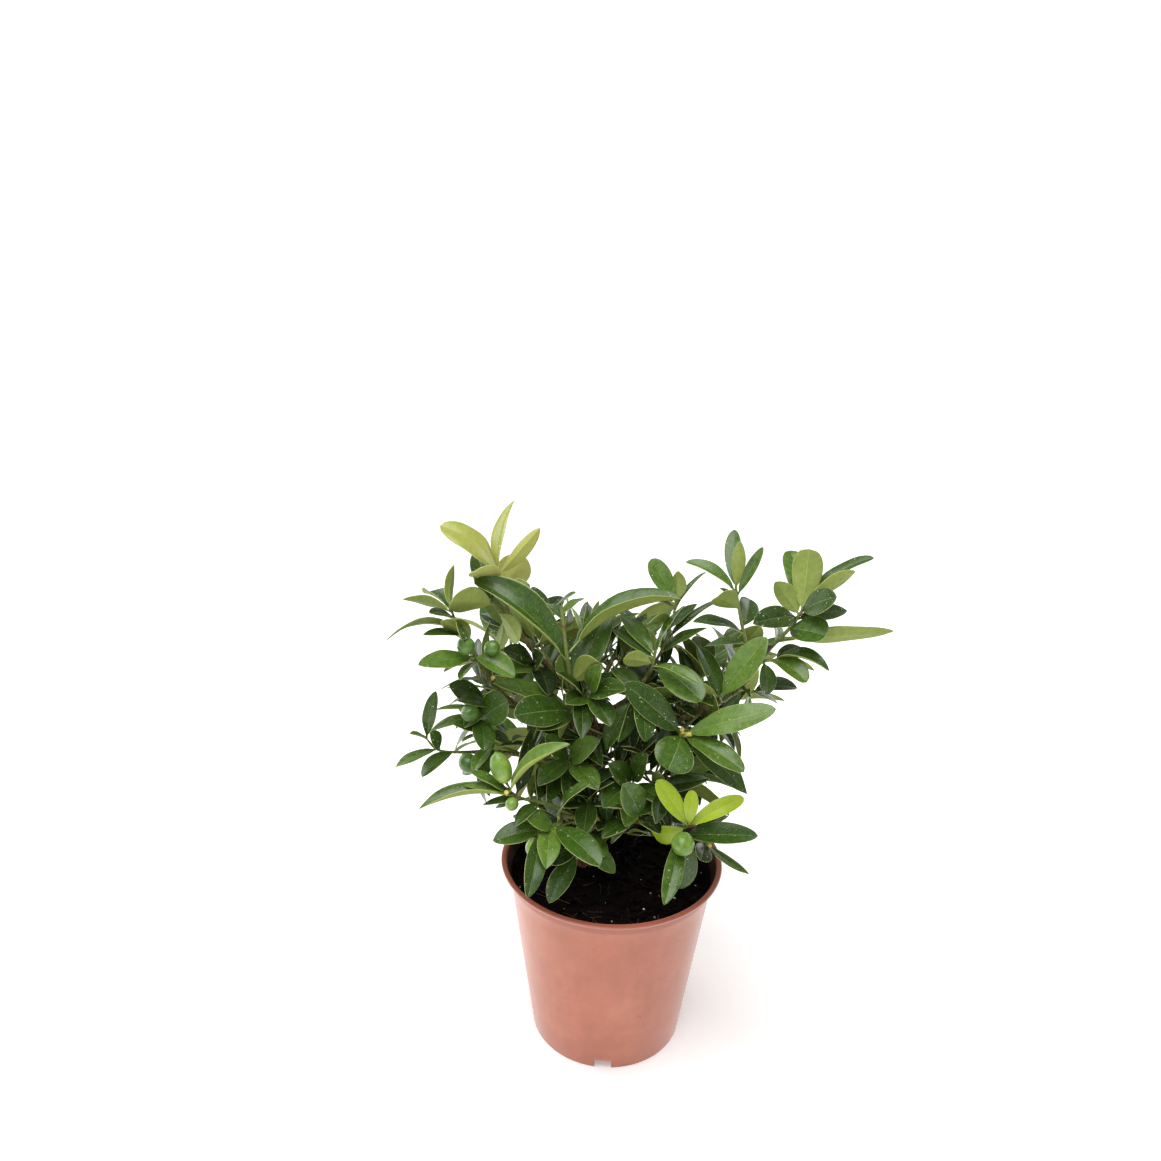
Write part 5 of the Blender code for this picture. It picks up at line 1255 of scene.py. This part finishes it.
stubs = []
cut_finishes = {kind: cut_finish(kind, *hues) for kind, hues in CUT_HUES.items()}
for px, py, radius, length, kind in STUBS:
    root = stem_behind(px, py)
    aim = seen_at(px, py, root.y / MM) - root
    way = (aim + (CAMERA_AT - root).normalized() * 0.010 + Vector((0, 0, 0.0015))).normalized()
    tip = root + way * max(length * MM, min(aim.length + 0.0015, 0.011))
    stubs.append(rod("stub", [root.lerp(tip, step) for step in STUB_STEPS],
                     [radius * MM * girth for girth in (BUD_GIRTHS if kind == "bud" else STUB_GIRTHS)], 10,
                     (0.0, 1.0), cut_finishes[kind]))
    bpy.ops.object.shade_smooth_by_angle(angle=math.radians(50))
stub_piece = joined("pruning_stubs_and_buds", stubs)
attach(stub_piece, "root")


# SPRAY DROPS
# The plant was sprayed before the picture was taken, and small drops stand on its waxy leaves. Their colour
# is painted milky white, as a painted highlight for their glints, so they show as pale specks.
DROP_SEED, DROPS = 11, 2200
SMALLEST_DROP, DROP_SPREAD = 0.0005, 0.0009


def water_finish():
    # Clear water whose colour is painted milky white, a painted highlight that stands in for its glints,
    # and glossy so that it glints as well.
    material, shader, add = new_finish("water_painted_pale_for_glints", IOR=1.333, Transmission_Weight=0.65)
    pale_glint_noise = add("TexNoise", {"Vector": add("TexCoord", out="Object"), "Scale": 900.0})
    tint = add("Mix", {0: pale_glint_noise, 6: "#DCE6C8", 7: "#FFFFF4"}, out=2, data_type="RGBA")
    rough = add("MapRange", {"Value": pale_glint_noise, "To Min": 0.05, "To Max": 0.25})
    fill(shader, {"Base Color": tint, "Roughness": rough})
    return material


def model_drop():
    """A drop one unit across that stands on the origin: a ball cut off flat below and squashed."""
    drop = fresh(bpy.ops.mesh.primitive_ico_sphere_add, "water_drop", subdivisions=2, radius=0.5)
    bpy.ops.object.mode_set(mode="EDIT")
    bpy.ops.mesh.select_all(action="SELECT")
    bpy.ops.mesh.bisect(plane_co=(0, 0, -0.12), plane_no=(0, 0, 1), clear_inner=True, use_fill=True)
    bpy.ops.mesh.select_all(action="SELECT")
    bpy.ops.transform.resize(value=(1.0, 1.0, 0.7))
    bpy.ops.object.mode_set(mode="OBJECT")
    drop.data.materials.append(water_finish())
    return drop


def sprinkle(spots, drop, draw):
    """Drops on the leaves, more on the larger ones, each standing square on the blade."""
    shape = corners_of(drop)
    areas = [spot["width"] * (spot["tip"] - spot["base"]).length for spot in spots]
    places = []
    for spot in draw.choices(spots, areas, k=DROPS):
        facing = spot["normal"].dot(CAMERA_AT - spot["base"]) > 0
        side = 1.0 if facing or draw.random() < 0.5 else -1.0
        t, y = draw.uniform(0.15, 0.93), draw.uniform(-0.85, 0.85)
        middle, ahead, beside = (Vector(p) for p in on_leaf(
            spot, np.array((t, t + 0.02, t)), np.array((y, y, y + 0.05)), np.full(3, side)))
        normal = (ahead - middle).cross(beside - middle).normalized()
        if normal.dot(spot["normal"]) * side < 0:
            normal = -normal
        size = SMALLEST_DROP + DROP_SPREAD * draw.random() ** 2.5
        places.append(placed(shape, pointing(middle, normal, size)))
    return copies_of(drop, "spray_drops", places)


water_drop = model_drop()
drops = sprinkle(all_spots, water_drop, random.Random(DROP_SEED))
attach(drops, "root")
discard(water_drop)


# STUDIO
# Not part of the object: a white floor, soft lights over it and at its sides, and a camera where the
# photographer stood.
# Each light: its place, what it faces, its size and its power
LIGHTS = {
    "overhead_softbox": ((-0.2, -0.35, 1.5), (0, 0, 0.25), (1.2, 1.1), 19.5),
    "front_softbox": ((-0.7, -1.7, 1.2), (0, 0, 0.2), (1.4, 1.2), 5.5),
    "left_panel": ((-1.0, 0.50, 0.45), (0, 0, 0.12), (0.9, 1.2), 9),
    "right_panel": ((0.95, 0.65, 0.45), (0, 0, 0.12), (0.7, 1.0), 5),
}
SENSOR = 36.0


def pale_finish():
    # White paper that glows more strongly further out from the pot, a painted glow with no lamp under it,
    # so that it goes out to plain white.
    material, shader, add = new_finish("white_paper_floor", Roughness=0.9)
    spot = add("TexCoord", out="Object")
    reach = add("VectorMath", {0: spot}, out="Value", operation="LENGTH")
    glow = add("MapRange", {"Value": reach, "From Min": 0.15, "From Max": 1.0, "To Min": 0.26,
                            "To Max": 0.80})
    tooth = add("TexNoise", {"Vector": spot, "Scale": 40.0})
    tint = add("Mix", {0: tooth, 6: "#F4F4F4", 7: "#F8F8F8"}, out=2, data_type="RGBA")
    fill(shader, {"Base Color": tint, "Emission Color": "#FFFFFF", "Emission Strength": glow})
    return material


floor = fresh(bpy.ops.mesh.primitive_plane_add, "studio_floor", size=12.0, location=(0, 0, 0))
floor.data.materials.append(pale_finish())

for name, (place, aim, size, power) in LIGHTS.items():
    take()
    bpy.ops.object.light_add(type="AREA", location=place)
    lamp = bpy.context.object
    lamp.name, lamp.data.shape, lamp.data.energy = name, "RECTANGLE", power
    lamp.data.size, lamp.data.size_y = size
    lamp.rotation_euler = (Vector(aim) - Vector(place)).to_track_quat("-Z", "Y").to_euler()

world = bpy.data.worlds.new("studio")
bpy.context.scene.world = world
world.use_nodes = True
seen = add_node(world.node_tree, "LightPath", out="Is Camera Ray")
glow = add_node(world.node_tree, "MapRange", {"Value": seen, "To Min": 0.30, "To Max": 1.0})
fill(world.node_tree.nodes["Background"], {"Color": "#FFFFFF", "Strength": glow})
bpy.context.scene.view_settings.view_transform = "Standard"

take()
bpy.ops.object.camera_add(location=CAMERA_AT)
camera = bpy.context.object
camera.data.sensor_width, camera.data.lens = SENSOR, SENSOR * PHOTO_FOCAL / (2 * PHOTO_CENTRE)
right, top, ahead = camera_axes()
camera.matrix_world = Matrix.Translation(CAMERA_AT) @ Matrix((right, top, -ahead)).transposed().to_4x4()
bpy.context.scene.camera = camera
